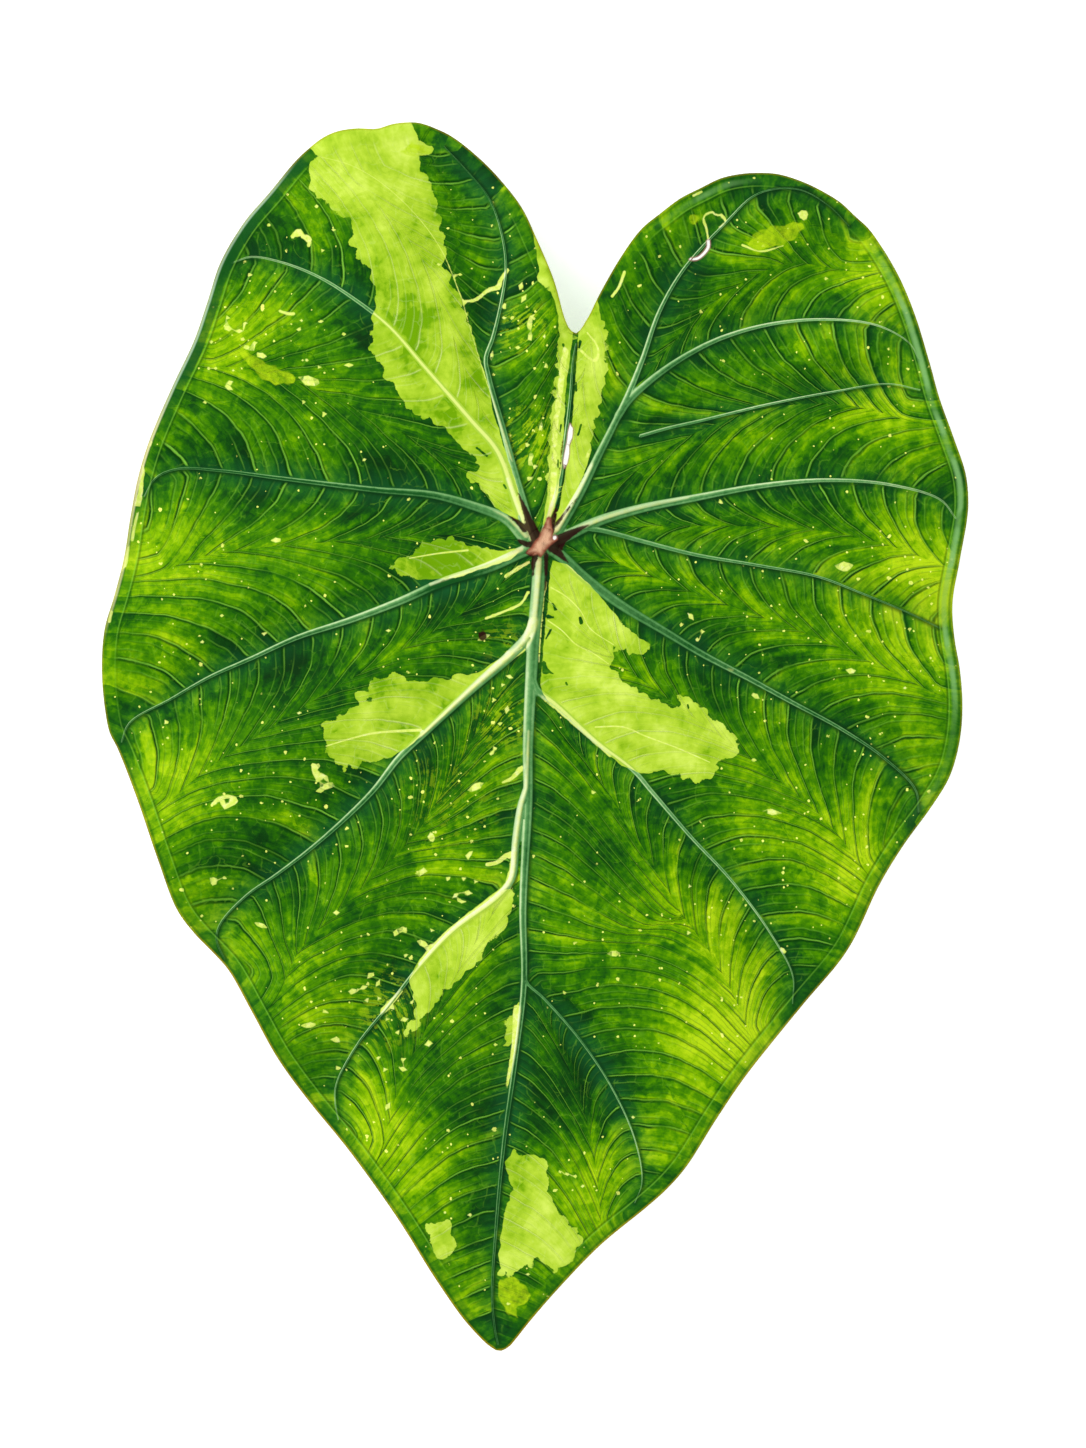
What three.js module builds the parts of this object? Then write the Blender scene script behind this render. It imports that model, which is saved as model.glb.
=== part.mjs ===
// A picked leaf of a variegated colocasia, lying face up on a surface with its tip towards -Y.
// The blade is one thin waved sheet, domed over its stalk, with its ribs raised above and below.
// The stalk comes up through the blade at the knot, turns towards the tip and lies on the surface.
// Millimetres, +Z up. The surface is z = 0 and the middle of the leaf's outline is x = y = 0.
import * as THREE from 'three';

// Driving dimensions, mm
const LEAF_LENGTH = 308; // tops of the two basal lobes to the tip
const BLADE_THICKNESS = 0.7;
const KNOT_HEIGHT = 20; // upper face of the blade at the knot, above the surface
const PANEL_RISE = 2.4; // how far the blade bulges up between two ribs
const PANEL_RISE_REACH = 7; // distance from a rib at which that bulge is mostly there
const MARGIN_DROP = 1.0; // the margin turns down by this much
const MARGIN_BAND = 5; // over this width
const MARGINAL_VEIN = { inset: 3.2, halfWidth: 1.6, rise: 0.3 };
const HOLE_RADIUS = 4.2; // hole in the blade at the knot
const HOLE_SIDES = 16;
const HOLE_BAND = 2; // ring of points round the hole
const HOLE_INSET = 0.5; // no other point is nearer to the hole
const STALK_RADIUS = 4.8;
const STALK_TAPER = 0.06; // share of its radius that it loses by the cut end
const STALK_LENGTH = 44; // how far the stub reaches towards the tip
const CROWN_RISE = 1.4; // the knot stands this far above the blade
const GAP = 0.3; // clearance between the stalk and the blade

// Spacing of the points that the blade's two faces are built on, mm
const OUTLINE_STEP = 4.4;
const RIB_STEP = 4.8;
const PANEL_STEP = 7;
// A point is left out where it would lie closer than this to one that is there already
const RIB_CLEAR = 1.5;
const FLANK_CLEAR = 0.95;
const VEIN_CLEAR = 2.2;
const PANEL_CLEAR = 0.55 * PANEL_STEP;
// and where it would lie closer than this to the outline
const RIB_INSET = 2.6;
const VEIN_INSET = 2.8;
const PANEL_INSET = 3.6;

// The outline and the ribs were read by eye from a photograph taken square on.
// Their points are in its pixels and are turned to millimetres by the leaf's length.
const KNOT_PX = [543, 545];
const LOBE_TOP_PX = 122;
const TIP_PX = 1354.5;
const MM_PER_PX = LEAF_LENGTH / (TIP_PX - LOBE_TOP_PX);

// Clockwise from the bottom of the sinus: right lobe, right side, tip, left side, left lobe
const OUTLINE_PX = [
  [576, 335], [587, 321], [599, 297], [620, 260], [641, 231], [659, 216], [680, 200], [699, 190],
  [721, 179], [743, 174], [760, 173], [778, 174], [800, 180], [821, 189], [841, 201], [856, 215],
  [869, 227], [880, 242], [900, 279], [918, 322], [930, 361], [940, 400], [953, 438], [966, 475],
  [969, 500], [968, 519], [960, 560], [953, 601], [955, 638], [960, 671], [962, 710], [959, 745],
  [950, 778], [933, 807], [902, 849], [879, 886], [847, 952], [804, 1006], [745, 1078], [716, 1121],
  [686, 1169], [667, 1191], [646, 1210], [601, 1247], [557, 1293], [528, 1327], [517, 1341],
  [508, 1351], [499, 1354.5], [490, 1350], [480, 1341], [464, 1323], [434, 1279], [398, 1221],
  [352, 1157], [311, 1106], [279, 1061], [252, 1013], [228, 972], [212, 954], [194, 935], [177, 911],
  [159, 862], [139, 805], [116, 748], [109, 734], [105, 714], [102, 673], [105, 631], [115, 596],
  [124, 559], [130, 516], [137, 479], [148, 444], [172, 389], [194, 341], [206, 304], [219, 263],
  [241, 225], [268, 194], [294, 163], [309, 149], [324, 138], [338, 132], [357, 129], [377, 129],
  [392, 124], [405, 122], [418, 122], [434, 127], [452, 136], [480, 159], [500, 180], [522, 209],
  [537, 241], [554, 282], [565, 321], [570, 331],
];

// Each rib from its root to its end near the margin. half is its half width in mm at the root and
// at the end; the sinus rib and the branch between two ribs are slight.
const RIBS = {
  midrib: {
    half: [2.6, 0.9],
    path: [
      [541, 555], [538, 590], [534, 634], [531, 681], [528, 747], [528, 800], [523, 907],
      [524, 982], [515, 1062], [504, 1142], [496, 1228], [492, 1298], [495, 1332], [498, 1346],
    ],
  },
  sinus: { half: [1.3, 0.8], path: [[545, 530], [558, 490], [564, 450], [570, 400], [573, 361], [576, 345]] },
  left1: {
    half: [1.9, 0.8],
    path: [
      [532, 540], [517, 505], [498, 453], [471, 421], [424, 367], [390, 328], [359, 303],
      [320, 278], [281, 262], [250, 256], [231, 262],
    ],
  },
  left2: {
    half: [1.9, 0.8],
    path: [
      [537, 542], [520, 492], [504, 433], [489, 378], [486, 360], [493, 339], [502, 300],
      [506, 267], [501, 232], [489, 199], [467, 171], [444, 146],
    ],
  },
  left3: {
    half: [2.0, 0.8],
    path: [
      [530, 544], [506, 520], [474, 507], [434, 496], [380, 491], [330, 485], [275, 478],
      [221, 471], [177, 469], [155, 478], [144, 496],
    ],
  },
  left4: {
    half: [2.2, 0.8],
    path: [
      [526, 551], [489, 568], [445, 582], [402, 601], [352, 620], [297, 638], [253, 658],
      [210, 677], [171, 699], [129, 723], [121, 742],
    ],
  },
  left5: {
    half: [2.1, 0.8],
    path: [
      [530, 634], [511, 655], [471, 690], [426, 732], [400, 757], [374, 790], [347, 817],
      [314, 846], [276, 875], [247, 895], [220, 924], [216, 940], [224, 960],
    ],
  },
  left6: {
    half: [1.9, 0.7],
    path: [
      [522, 805], [516, 840], [512, 878], [499, 895], [453, 930], [421, 964], [389, 1005],
      [357, 1045], [336, 1085], [335, 1104], [338, 1120],
    ],
  },
  right1: {
    half: [1.9, 0.6],
    path: [
      [552, 538], [576, 501], [598, 457], [626, 400], [642, 361], [659, 313], [683, 271],
      [724, 225], [758, 194], [799, 189], [830, 205], [850, 225],
    ],
  },
  right1Branch: {
    half: [1.4, 0.6],
    path: [
      [628, 402], [652, 380], [685, 357], [723, 338], [773, 324], [826, 320], [878, 326],
      [910, 343], [919, 358],
    ],
  },
  rightBetween: {
    half: [0.9, 0.6],
    path: [[660, 431], [699, 422], [769, 405], [834, 392], [889, 384], [920, 390]],
  },
  right2: {
    half: [2.2, 0.8],
    path: [
      [561, 539], [598, 522], [642, 509], [693, 499], [758, 487], [823, 481], [889, 485],
      [941, 500], [956, 518],
    ],
  },
  right3: {
    half: [1.5, 0.7],
    path: [
      [600, 531], [642, 542], [693, 555], [758, 566], [817, 577], [860, 593], [911, 614], [940, 628],
    ],
  },
  right4: {
    half: [2.2, 0.8],
    path: [
      [560, 556], [583, 577], [620, 605], [663, 631], [703, 655], [747, 678], [791, 702],
      [841, 729], [884, 758], [916, 790], [919, 812],
    ],
  },
  right5: {
    half: [1.9, 0.7],
    path: [
      [537, 690], [554, 703], [598, 743], [633, 770], [652, 792], [691, 837], [731, 880],
      [769, 931], [793, 976], [793, 1004],
    ],
  },
  right6: {
    half: [1.5, 0.6],
    path: [
      [527, 982], [544, 998], [579, 1038], [611, 1086], [635, 1140], [642, 1183], [635, 1203],
    ],
  },
};
const RIB_RISE = 0.45; // rise above the upper face, in half widths
const RIB_DEPTH = 1.15; // depth below the lower face, in half widths
const RIB_FADE = 0.9; // ribs fade out from this share of their length
const ROOT_FADE = [6, 14]; // the ribs' undersides grow in between these distances from the knot

// Round the leaf, clockwise from the sinus: [bearing in degrees, reach in mm, height of the margin].
// The leaf rests on its tip and on the ends of its two lobes, which would be a little under z = 0.
const REST = -1.2;
const RIM = [
  [10, 104, 15], [20, 104, 15], [30, 108, 9], [45, 111, REST], [54, 112, 9], [63, 106, 4],
  [75, 105, 12.5], [86, 107, 4.5], [94, 103, 10.5], [101, 105, 5], [112, 112, 12.5], [124, 117, 3.5],
  [138, 121, 13], [151, 134, 3], [161, 147, 11], [171, 168, 6], [177, 182, 4], [183, 202, REST],
  [189, 185, 5.5], [200, 155, 3.5], [208, 142, 12], [218, 131, 3], [231, 124, 13],
  [244, 118, 3], [260, 111, 12], [277, 102, 3.5], [293, 101, 11], [312, 107, REST],
  [322, 112, 6], [333, 115, 12], [346, 107, 4.5], [354, 98, 11], [362, 98, 15],
];
const RIM_WAVE_START = 0.15; // share of the reach inside which the blade is still level

const plan = ([px, py]) =>
  new THREE.Vector2((px - KNOT_PX[0]) * MM_PER_PX, (KNOT_PX[1] - py) * MM_PER_PX);
const fade = (x, from, to) => THREE.MathUtils.smoothstep(x, from, to);

// A smooth plan curve through the points, as points about step apart
function smoothLine(points, step, closed = false) {
  const curve = new THREE.CatmullRomCurve3(
    points.map((p) => new THREE.Vector3(p.x, p.y, 0)), closed, 'centripetal');
  curve.arcLengthDivisions = 1200;
  const count = Math.round(curve.getLength() / step);
  return curve.getSpacedPoints(count).map((p) => new THREE.Vector2(p.x, p.y));
}

// Distance from p to a line of points, and the share of the line's length where it is nearest
function nearest(line, p) {
  let best = Infinity;
  let share = 0;
  for (let i = 0; i + 1 < line.length; i++) {
    const a = line[i];
    const along = line[i + 1].clone().sub(a);
    const t = THREE.MathUtils.clamp(p.clone().sub(a).dot(along) / along.lengthSq(), 0, 1);
    const distance = a.clone().addScaledVector(along, t).distanceTo(p);
    if (distance < best) {
      best = distance;
      share = (i + t) / (line.length - 1);
    }
  }
  return { distance: best, share };
}

const outline = smoothLine(OUTLINE_PX.map(plan), OUTLINE_STEP, true);
outline.pop(); // the closed curve's last point is its first
const outlineRing = [...outline, outline[0]];
const ribs = Object.values(RIBS).map(({ half, path }) => ({
  half,
  line: smoothLine(path.map(plan), RIB_STEP),
}));

// Reach and margin height at a bearing, eased between the entries of RIM
function rimAt(bearing) {
  const b = bearing < RIM[0][0] ? bearing + 360 : bearing;
  const stops = [...RIM, [RIM[0][0] + 360, RIM[0][1], RIM[0][2]]];
  const next = stops.findIndex((stop) => stop[0] > b);
  const [from, to] = [stops[next - 1], stops[next]];
  const t = fade(b, from[0], to[0]);
  return {
    reach: THREE.MathUtils.lerp(from[1], to[1], t),
    height: THREE.MathUtils.lerp(from[2], to[2], t),
  };
}

// Heights of the blade's two faces above the surface, at plan point p measured from the knot
function faces(p) {
  const bearing = (THREE.MathUtils.radToDeg(Math.atan2(p.x, p.y)) + 360) % 360;
  const rim = rimAt(bearing);
  const out = p.length() / rim.reach;
  const fall = Math.max(0, (out - RIM_WAVE_START) / (1 - RIM_WAVE_START)) ** 1.8;
  let level = THREE.MathUtils.lerp(KNOT_HEIGHT, rim.height, fall);

  let toRib = Infinity;
  let rise = 0;
  let depth = 0;
  for (const rib of ribs) {
    const { distance, share } = nearest(rib.line, p);
    const half = THREE.MathUtils.lerp(rib.half[0], rib.half[1], share);
    const body = (1 - fade(distance, 0, half)) * (1 - fade(share, RIB_FADE, 1));
    rise = Math.max(rise, RIB_RISE * half * body);
    depth = Math.max(depth, RIB_DEPTH * half * body);
    toRib = Math.min(toRib, distance);
  }
  depth *= fade(p.length(), ...ROOT_FADE);

  const margin = nearest(outlineRing, p).distance;
  const inPanel = 1 - Math.exp(-((toRib / PANEL_RISE_REACH) ** 2));
  level += PANEL_RISE * inPanel * fade(out, 0.06, 0.3) * (1 - 0.5 * fade(out, 0.8, 1));
  level -= MARGIN_DROP * Math.max(0, 1 - margin / MARGIN_BAND) ** 2;
  const fromVein = Math.abs(margin - MARGINAL_VEIN.inset);
  rise = Math.max(rise, MARGINAL_VEIN.rise * (1 - fade(fromVein, 0, MARGINAL_VEIN.halfWidth)));

  const bottom = Math.max(0, level - BLADE_THICKNESS - depth);
  return { top: Math.max(level + rise, bottom + BLADE_THICKNESS), bottom };
}

function insideOutline(p) {
  let inside = false;
  for (let i = 0; i < outline.length; i++) {
    const [a, b] = [outlineRing[i], outlineRing[i + 1]];
    if (a.y > p.y !== b.y > p.y && p.x < a.x + ((p.y - a.y) / (b.y - a.y)) * (b.x - a.x)) inside = !inside;
  }
  return inside;
}

// The plan points: outline, hole, ribs with both their flanks, marginal vein, then the panels
function planPoints() {
  const points = [...outline];
  const clear = (p, gap) => points.every((other) => other.distanceTo(p) >= gap);
  const offer = (p, gap, inset) => {
    const usable = p.length() > HOLE_RADIUS + HOLE_INSET && insideOutline(p);
    if (usable && nearest(outlineRing, p).distance >= inset && clear(p, gap)) points.push(p);
  };
  for (const [radius, shift] of [[HOLE_RADIUS, 0], [HOLE_RADIUS + HOLE_BAND, 0.5]]) {
    for (let i = 0; i < HOLE_SIDES; i++) {
      const turn = ((i + shift) / HOLE_SIDES) * 2 * Math.PI;
      points.push(new THREE.Vector2(Math.cos(turn), Math.sin(turn)).multiplyScalar(radius));
    }
  }
  for (const { line } of ribs) line.forEach((p) => offer(p, RIB_CLEAR, RIB_INSET));
  for (const { half, line } of ribs) {
    line.forEach((p, i) => {
      const before = line[Math.max(0, i - 1)];
      const after = line[Math.min(line.length - 1, i + 1)];
      const along = after.clone().sub(before).normalize();
      const width = THREE.MathUtils.lerp(half[0], half[1], i / (line.length - 1));
      for (const side of [-1, 1]) {
        const flank = new THREE.Vector2(-along.y, along.x).multiplyScalar(side * width).add(p);
        offer(flank, Math.min(FLANK_CLEAR, 0.9 * width), RIB_INSET);
      }
    });
  }
  outline.forEach((p, i) => {
    const along = outlineRing[i + 1].clone().sub(outline.at(i - 1)).normalize();
    const inward = new THREE.Vector2(along.y, -along.x).multiplyScalar(MARGINAL_VEIN.inset);
    offer(inward.add(p), VEIN_CLEAR, VEIN_INSET);
  });
  const rowStep = PANEL_STEP * Math.sqrt(0.75);
  const span = Math.ceil(LEAF_LENGTH / rowStep);
  for (let row = -span; row < span; row++) {
    for (let column = -span; column < span; column++) {
      const x = (column + (Math.abs(row) % 2) / 2) * PANEL_STEP;
      offer(new THREE.Vector2(x, row * rowStep), PANEL_CLEAR, PANEL_INSET);
    }
  }
  return points;
}

// Triangle i, j, k with the circle through its corners
function circled(points, i, j, k) {
  const [a, b, c] = [points[i], points[j], points[k]];
  const [abx, aby, acx, acy] = [b.x - a.x, b.y - a.y, c.x - a.x, c.y - a.y];
  const doubled = 2 * (abx * acy - aby * acx);
  const [ab, ac] = [abx * abx + aby * aby, acx * acx + acy * acy];
  const x = (acy * ab - aby * ac) / doubled;
  const y = (abx * ac - acx * ab) / doubled;
  const corners = doubled > 0 ? [i, j, k] : [i, k, j];
  return { corners, x: a.x + x, y: a.y + y, radiusSq: x * x + y * y };
}

// Delaunay triangles over the points, each anticlockwise, added point by point from left to right
function delaunay(given) {
  const far = 40 * LEAF_LENGTH;
  const count = given.length;
  const points = [
    ...given,
    new THREE.Vector2(-far, -far), new THREE.Vector2(far, -0.9 * far), new THREE.Vector2(0.1 * far, far),
  ];
  const order = given.map((_, i) => i).sort((i, j) => given[i].x - given[j].x);
  const finished = [];
  let open = [circled(points, count, count + 1, count + 2)];
  for (const i of order) {
    const { x, y } = points[i];
    const rim = new Map();
    const kept = [];
    for (const triangle of open) {
      const dx = x - triangle.x;
      if (dx > 0 && dx * dx > triangle.radiusSq) {
        finished.push(triangle);
      } else if (dx * dx + (y - triangle.y) ** 2 < triangle.radiusSq) {
        const [a, b, c] = triangle.corners;
        for (const [from, to] of [[a, b], [b, c], [c, a]]) {
          const key = Math.min(from, to) * points.length + Math.max(from, to);
          if (!rim.delete(key)) rim.set(key, [from, to]);
        }
      } else {
        kept.push(triangle);
      }
    }
    open = kept;
    for (const [from, to] of rim.values()) open.push(circled(points, from, to, i));
  }
  return [...finished, ...open].map((t) => t.corners).filter((c) => Math.max(...c) < count);
}

function solid(positions, indices) {
  const geometry = new THREE.BufferGeometry();
  geometry.setAttribute('position', new THREE.Float32BufferAttribute(positions, 3));
  geometry.setIndex(indices);
  geometry.computeVertexNormals();
  return geometry;
}

// The blade: the same triangles on both faces, closed by a wall along the outline and the hole
function bladeGeometry() {
  const points = planPoints();
  const lifted = points.map(faces);
  const triangles = delaunay(points).filter((corners) => {
    const middle = corners.reduce((sum, i) => sum.add(points[i]), new THREE.Vector2()).divideScalar(3);
    return middle.length() > HOLE_RADIUS && insideOutline(middle);
  });
  const positions = [
    ...points.flatMap((p, i) => [p.x, p.y, lifted[i].top]),
    ...points.flatMap((p, i) => [p.x, p.y, lifted[i].bottom]),
  ];
  const under = points.length;
  const indices = [];
  const edges = new Map();
  for (const [a, b, c] of triangles) {
    indices.push(a, b, c, a + under, c + under, b + under);
    for (const [from, to] of [[a, b], [b, c], [c, a]]) {
      if (!edges.delete(to * under + from)) edges.set(from * under + to, [from, to]);
    }
  }
  for (const [from, to] of edges.values()) {
    indices.push(from, from + under, to + under, from, to + under, to);
  }
  return solid(positions, indices);
}

// The stalk: rings along a path that falls from the crown, turns and runs along the surface.
// Its belly is cut flat at z = 0, which is the face that it rests on.
function stalkGeometry() {
  const sides = 20;
  const neck = HOLE_RADIUS - GAP;
  const shoulder = KNOT_HEIGHT - BLADE_THICKNESS - 1.5 * GAP;
  const turn = 9; // radius of the turn, along the middle of the stalk
  const lying = STALK_RADIUS - 0.45; // height of the middle once it lies on the surface
  const rings = [
    [0, KNOT_HEIGHT + CROWN_RISE, 0.35 * neck, 0],
    [0, KNOT_HEIGHT + 0.85 * CROWN_RISE, 0.7 * neck, 0],
    [0, KNOT_HEIGHT + 0.45 * CROWN_RISE, 0.95 * neck, 0],
    [0, KNOT_HEIGHT, neck, 0],
    [0, shoulder, neck, 0],
    [0, shoulder - 0.05, STALK_RADIUS, 0],
  ].map(([y, z, radius, tilt]) => ({ y, z, radius, tilt }));
  const turnSteps = 6;
  for (let i = 0; i <= turnSteps; i++) {
    const tilt = (i / turnSteps) * (Math.PI / 2);
    const y = -turn * (1 - Math.cos(tilt));
    const z = lying + turn * (1 - Math.sin(tilt));
    rings.push({ y, z, radius: STALK_RADIUS, tilt });
  }
  const runSteps = 6;
  for (let i = 1; i <= runSteps; i++) {
    const along = i / runSteps;
    const y = -turn - along * (STALK_LENGTH - turn);
    rings.push({ y, z: lying, radius: STALK_RADIUS * (1 - STALK_TAPER * along), tilt: Math.PI / 2 });
  }
  const positions = [];
  for (const { y, z, radius, tilt } of rings) {
    for (let s = 0; s < sides; s++) {
      const around = (s / sides) * 2 * Math.PI;
      const across = radius * Math.cos(around);
      const up = radius * Math.sin(around);
      positions.push(across, y + up * Math.cos(tilt), Math.max(0, z - up * Math.sin(tilt)));
    }
  }
  const last = rings.length - 1;
  positions.push(0, rings[0].y, rings[0].z, 0, rings[last].y, rings[last].z);
  const [crown, cut] = [rings.length * sides, rings.length * sides + 1];
  const indices = [];
  for (let r = 0; r < last; r++) {
    for (let s = 0; s < sides; s++) {
      const [a, b] = [r * sides + s, r * sides + ((s + 1) % sides)];
      indices.push(a, a + sides, b, b, a + sides, b + sides);
    }
  }
  for (let s = 0; s < sides; s++) {
    const t = (s + 1) % sides;
    indices.push(crown, s, t, cut, last * sides + t, last * sides + s);
  }
  return solid(positions, indices);
}

const blade = new THREE.Mesh(
  bladeGeometry(),
  new THREE.MeshStandardMaterial({ color: 0x4a8a1c, roughness: 0.45, metalness: 0 }),
);
blade.name = 'leaf_blade';

const stalk = new THREE.Mesh(
  stalkGeometry(),
  new THREE.MeshStandardMaterial({ color: 0x7a4a34, roughness: 0.5, metalness: 0 }),
);
stalk.name = 'petiole';

const leaf = new THREE.Group();
const footprint = new THREE.Box2().setFromPoints(outline).getCenter(new THREE.Vector2());
leaf.position.set(-footprint.x, -footprint.y, 0);
leaf.add(blade, stalk);

export default leaf;
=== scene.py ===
# %% [markdown]
# # A variegated colocasia leaf
# One picked, heart-shaped leaf lies face up with its tip towards the reader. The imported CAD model
# gives its real size and place. Everything below makes the surface that is seen: a fine net of
# triangles that follows the ribs, raised veins, the lime patches, the knot and the stalk.

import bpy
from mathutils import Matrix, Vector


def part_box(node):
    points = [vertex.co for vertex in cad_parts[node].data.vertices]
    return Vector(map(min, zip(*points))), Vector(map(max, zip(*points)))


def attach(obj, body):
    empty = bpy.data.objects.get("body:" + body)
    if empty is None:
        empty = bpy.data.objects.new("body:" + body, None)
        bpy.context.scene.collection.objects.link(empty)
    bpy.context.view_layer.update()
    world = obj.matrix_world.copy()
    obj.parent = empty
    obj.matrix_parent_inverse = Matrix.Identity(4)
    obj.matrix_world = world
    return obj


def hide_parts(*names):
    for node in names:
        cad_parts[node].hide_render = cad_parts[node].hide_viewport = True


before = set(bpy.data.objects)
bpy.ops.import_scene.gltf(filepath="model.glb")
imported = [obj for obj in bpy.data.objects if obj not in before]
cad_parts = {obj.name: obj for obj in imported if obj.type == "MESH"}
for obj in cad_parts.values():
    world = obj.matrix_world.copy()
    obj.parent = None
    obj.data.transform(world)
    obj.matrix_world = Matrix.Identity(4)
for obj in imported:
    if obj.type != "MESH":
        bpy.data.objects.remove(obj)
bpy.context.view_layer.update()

# %% Tools used in every cell
import math
from types import SimpleNamespace

import bmesh
import bpy
import numpy as np
from mathutils import Vector
from mathutils.geometry import delaunay_2d_cdt

MM = 0.001

# %% [markdown]
# ## The outline and the ribs
# A leaf is drawn from its outline and its veins, so these come first. They were read from the photograph,
# in its pixels, and the leaf's length turns them to millimetres. A centripetal Catmull-Rom curve through a
# few points gives the same smooth lines as the CAD model has.

# %% Outline, clockwise from the bottom of the sinus
LEAF_LENGTH = 308.0
KNOT_PX = (543.0, 545.0)
LOBE_TOP_PX, TIP_PX = 122.0, 1354.5
MM_PER_PX = LEAF_LENGTH / (TIP_PX - LOBE_TOP_PX)

OUTLINE_PX = [
    (576, 335), (587, 321), (599, 297), (620, 260), (641, 231), (659, 216), (680, 200), (699, 190),
    (721, 179), (743, 174), (760, 173), (778, 174), (800, 180), (821, 189), (841, 201), (856, 215),
    (869, 227), (880, 242), (900, 279), (918, 322), (930, 361), (940, 400), (953, 438), (966, 475),
    (969, 500), (968, 519), (960, 560), (953, 601), (955, 638), (960, 671), (962, 710), (959, 745),
    (950, 778), (933, 807), (902, 849), (879, 886), (847, 952), (804, 1006), (745, 1078),
    (716, 1121), (686, 1169), (667, 1191), (646, 1210), (601, 1247), (557, 1293), (528, 1327),
    (517, 1341), (508, 1351), (499, 1354.5), (490, 1350), (480, 1341), (464, 1323), (434, 1279),
    (398, 1221), (352, 1157), (311, 1106), (279, 1061), (252, 1013), (228, 972), (212, 954),
    (194, 935), (177, 911), (159, 862), (139, 805), (116, 748), (109, 734), (105, 714), (102, 673),
    (105, 631), (115, 596), (124, 559), (130, 516), (137, 479), (148, 444), (172, 389), (194, 341),
    (206, 304), (219, 263), (241, 225), (268, 194), (294, 163), (309, 149), (324, 138), (338, 132),
    (357, 129), (377, 129), (392, 124), (405, 122), (418, 122), (434, 127), (452, 136), (480, 159),
    (500, 180), (522, 209), (537, 241), (554, 282), (565, 321), (570, 331),
]


def plan(points_px):
    """Photograph pixels to millimetres from the knot, +Y up the picture."""
    p = np.asarray(points_px, float)
    return (p - KNOT_PX) * (MM_PER_PX, -MM_PER_PX)


print("one pixel is", round(MM_PER_PX, 4), "mm of the leaf")

# %% Smooth lines


def resample(line, step):
    """The same line with points about step apart."""
    along = np.r_[0, np.cumsum(np.linalg.norm(np.diff(line, axis=0), axis=1))]
    marks = np.linspace(0, along[-1], max(2, round(along[-1] / step) + 1))
    return np.column_stack([np.interp(marks, along, line[:, i]) for i in (0, 1)])


def smooth_line(points, step, closed=False, dense=24):
    """A centripetal Catmull-Rom curve through the points, as points about step apart."""
    p = np.asarray(points, float)
    ends = (p[-1:], p[:2]) if closed else (2 * p[:1] - p[1:2], 2 * p[-1:] - p[-2:-1])
    p = np.vstack([ends[0], p, ends[1]])
    line = []
    for a, b, c, d in zip(p, p[1:], p[2:], p[3:]):
        t1 = np.linalg.norm(b - a) ** 0.5
        t2 = t1 + np.linalg.norm(c - b) ** 0.5
        t3 = t2 + np.linalg.norm(d - c) ** 0.5
        t = np.linspace(t1, t2, dense, endpoint=False)[:, None]
        ab = a + (b - a) * t / t1
        bc = b + (c - b) * (t - t1) / (t2 - t1)
        cd = c + (d - c) * (t - t2) / (t3 - t2)
        abc = ab + (bc - ab) * t / t2
        bcd = bc + (cd - bc) * (t - t1) / (t3 - t1)
        line.append(abc + (bcd - abc) * (t - t1) / (t2 - t1))
    return resample(np.vstack([*line, p[-2:-1] if not closed else line[0][:1]]), step)


OUTLINE_STEP = 1.3
outline = smooth_line(plan(OUTLINE_PX), OUTLINE_STEP, closed=True)[:-1]
print(len(outline), "outline points")

# %% Outline and knot in the frame
STALK_LENGTH = 44.0
blade_low, blade_high = (np.array(corner[:2]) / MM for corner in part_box("leaf_blade"))
stalk_low, stalk_high = (np.array(corner[:2]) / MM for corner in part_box("petiole"))
knot = np.array([(stalk_low[0] + stalk_high[0]) / 2, stalk_low[1] + STALK_LENGTH])
fit = (blade_high - blade_low) / np.ptp(outline, axis=0)
outline = blade_low - knot + (outline - outline.min(axis=0)) * fit
print("knot at", knot.round(1), "mm in the frame; outline fitted by", fit.round(4))

# %% [markdown]
# Each rib has a parent that it springs from, its half width at root and end, and its path. None means
# the knot, and one stray rib starts free in its panel. A chain runs from the knot along the parents
# and the rib to the margin, and two neighbouring chains enclose one panel of the blade.

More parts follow.
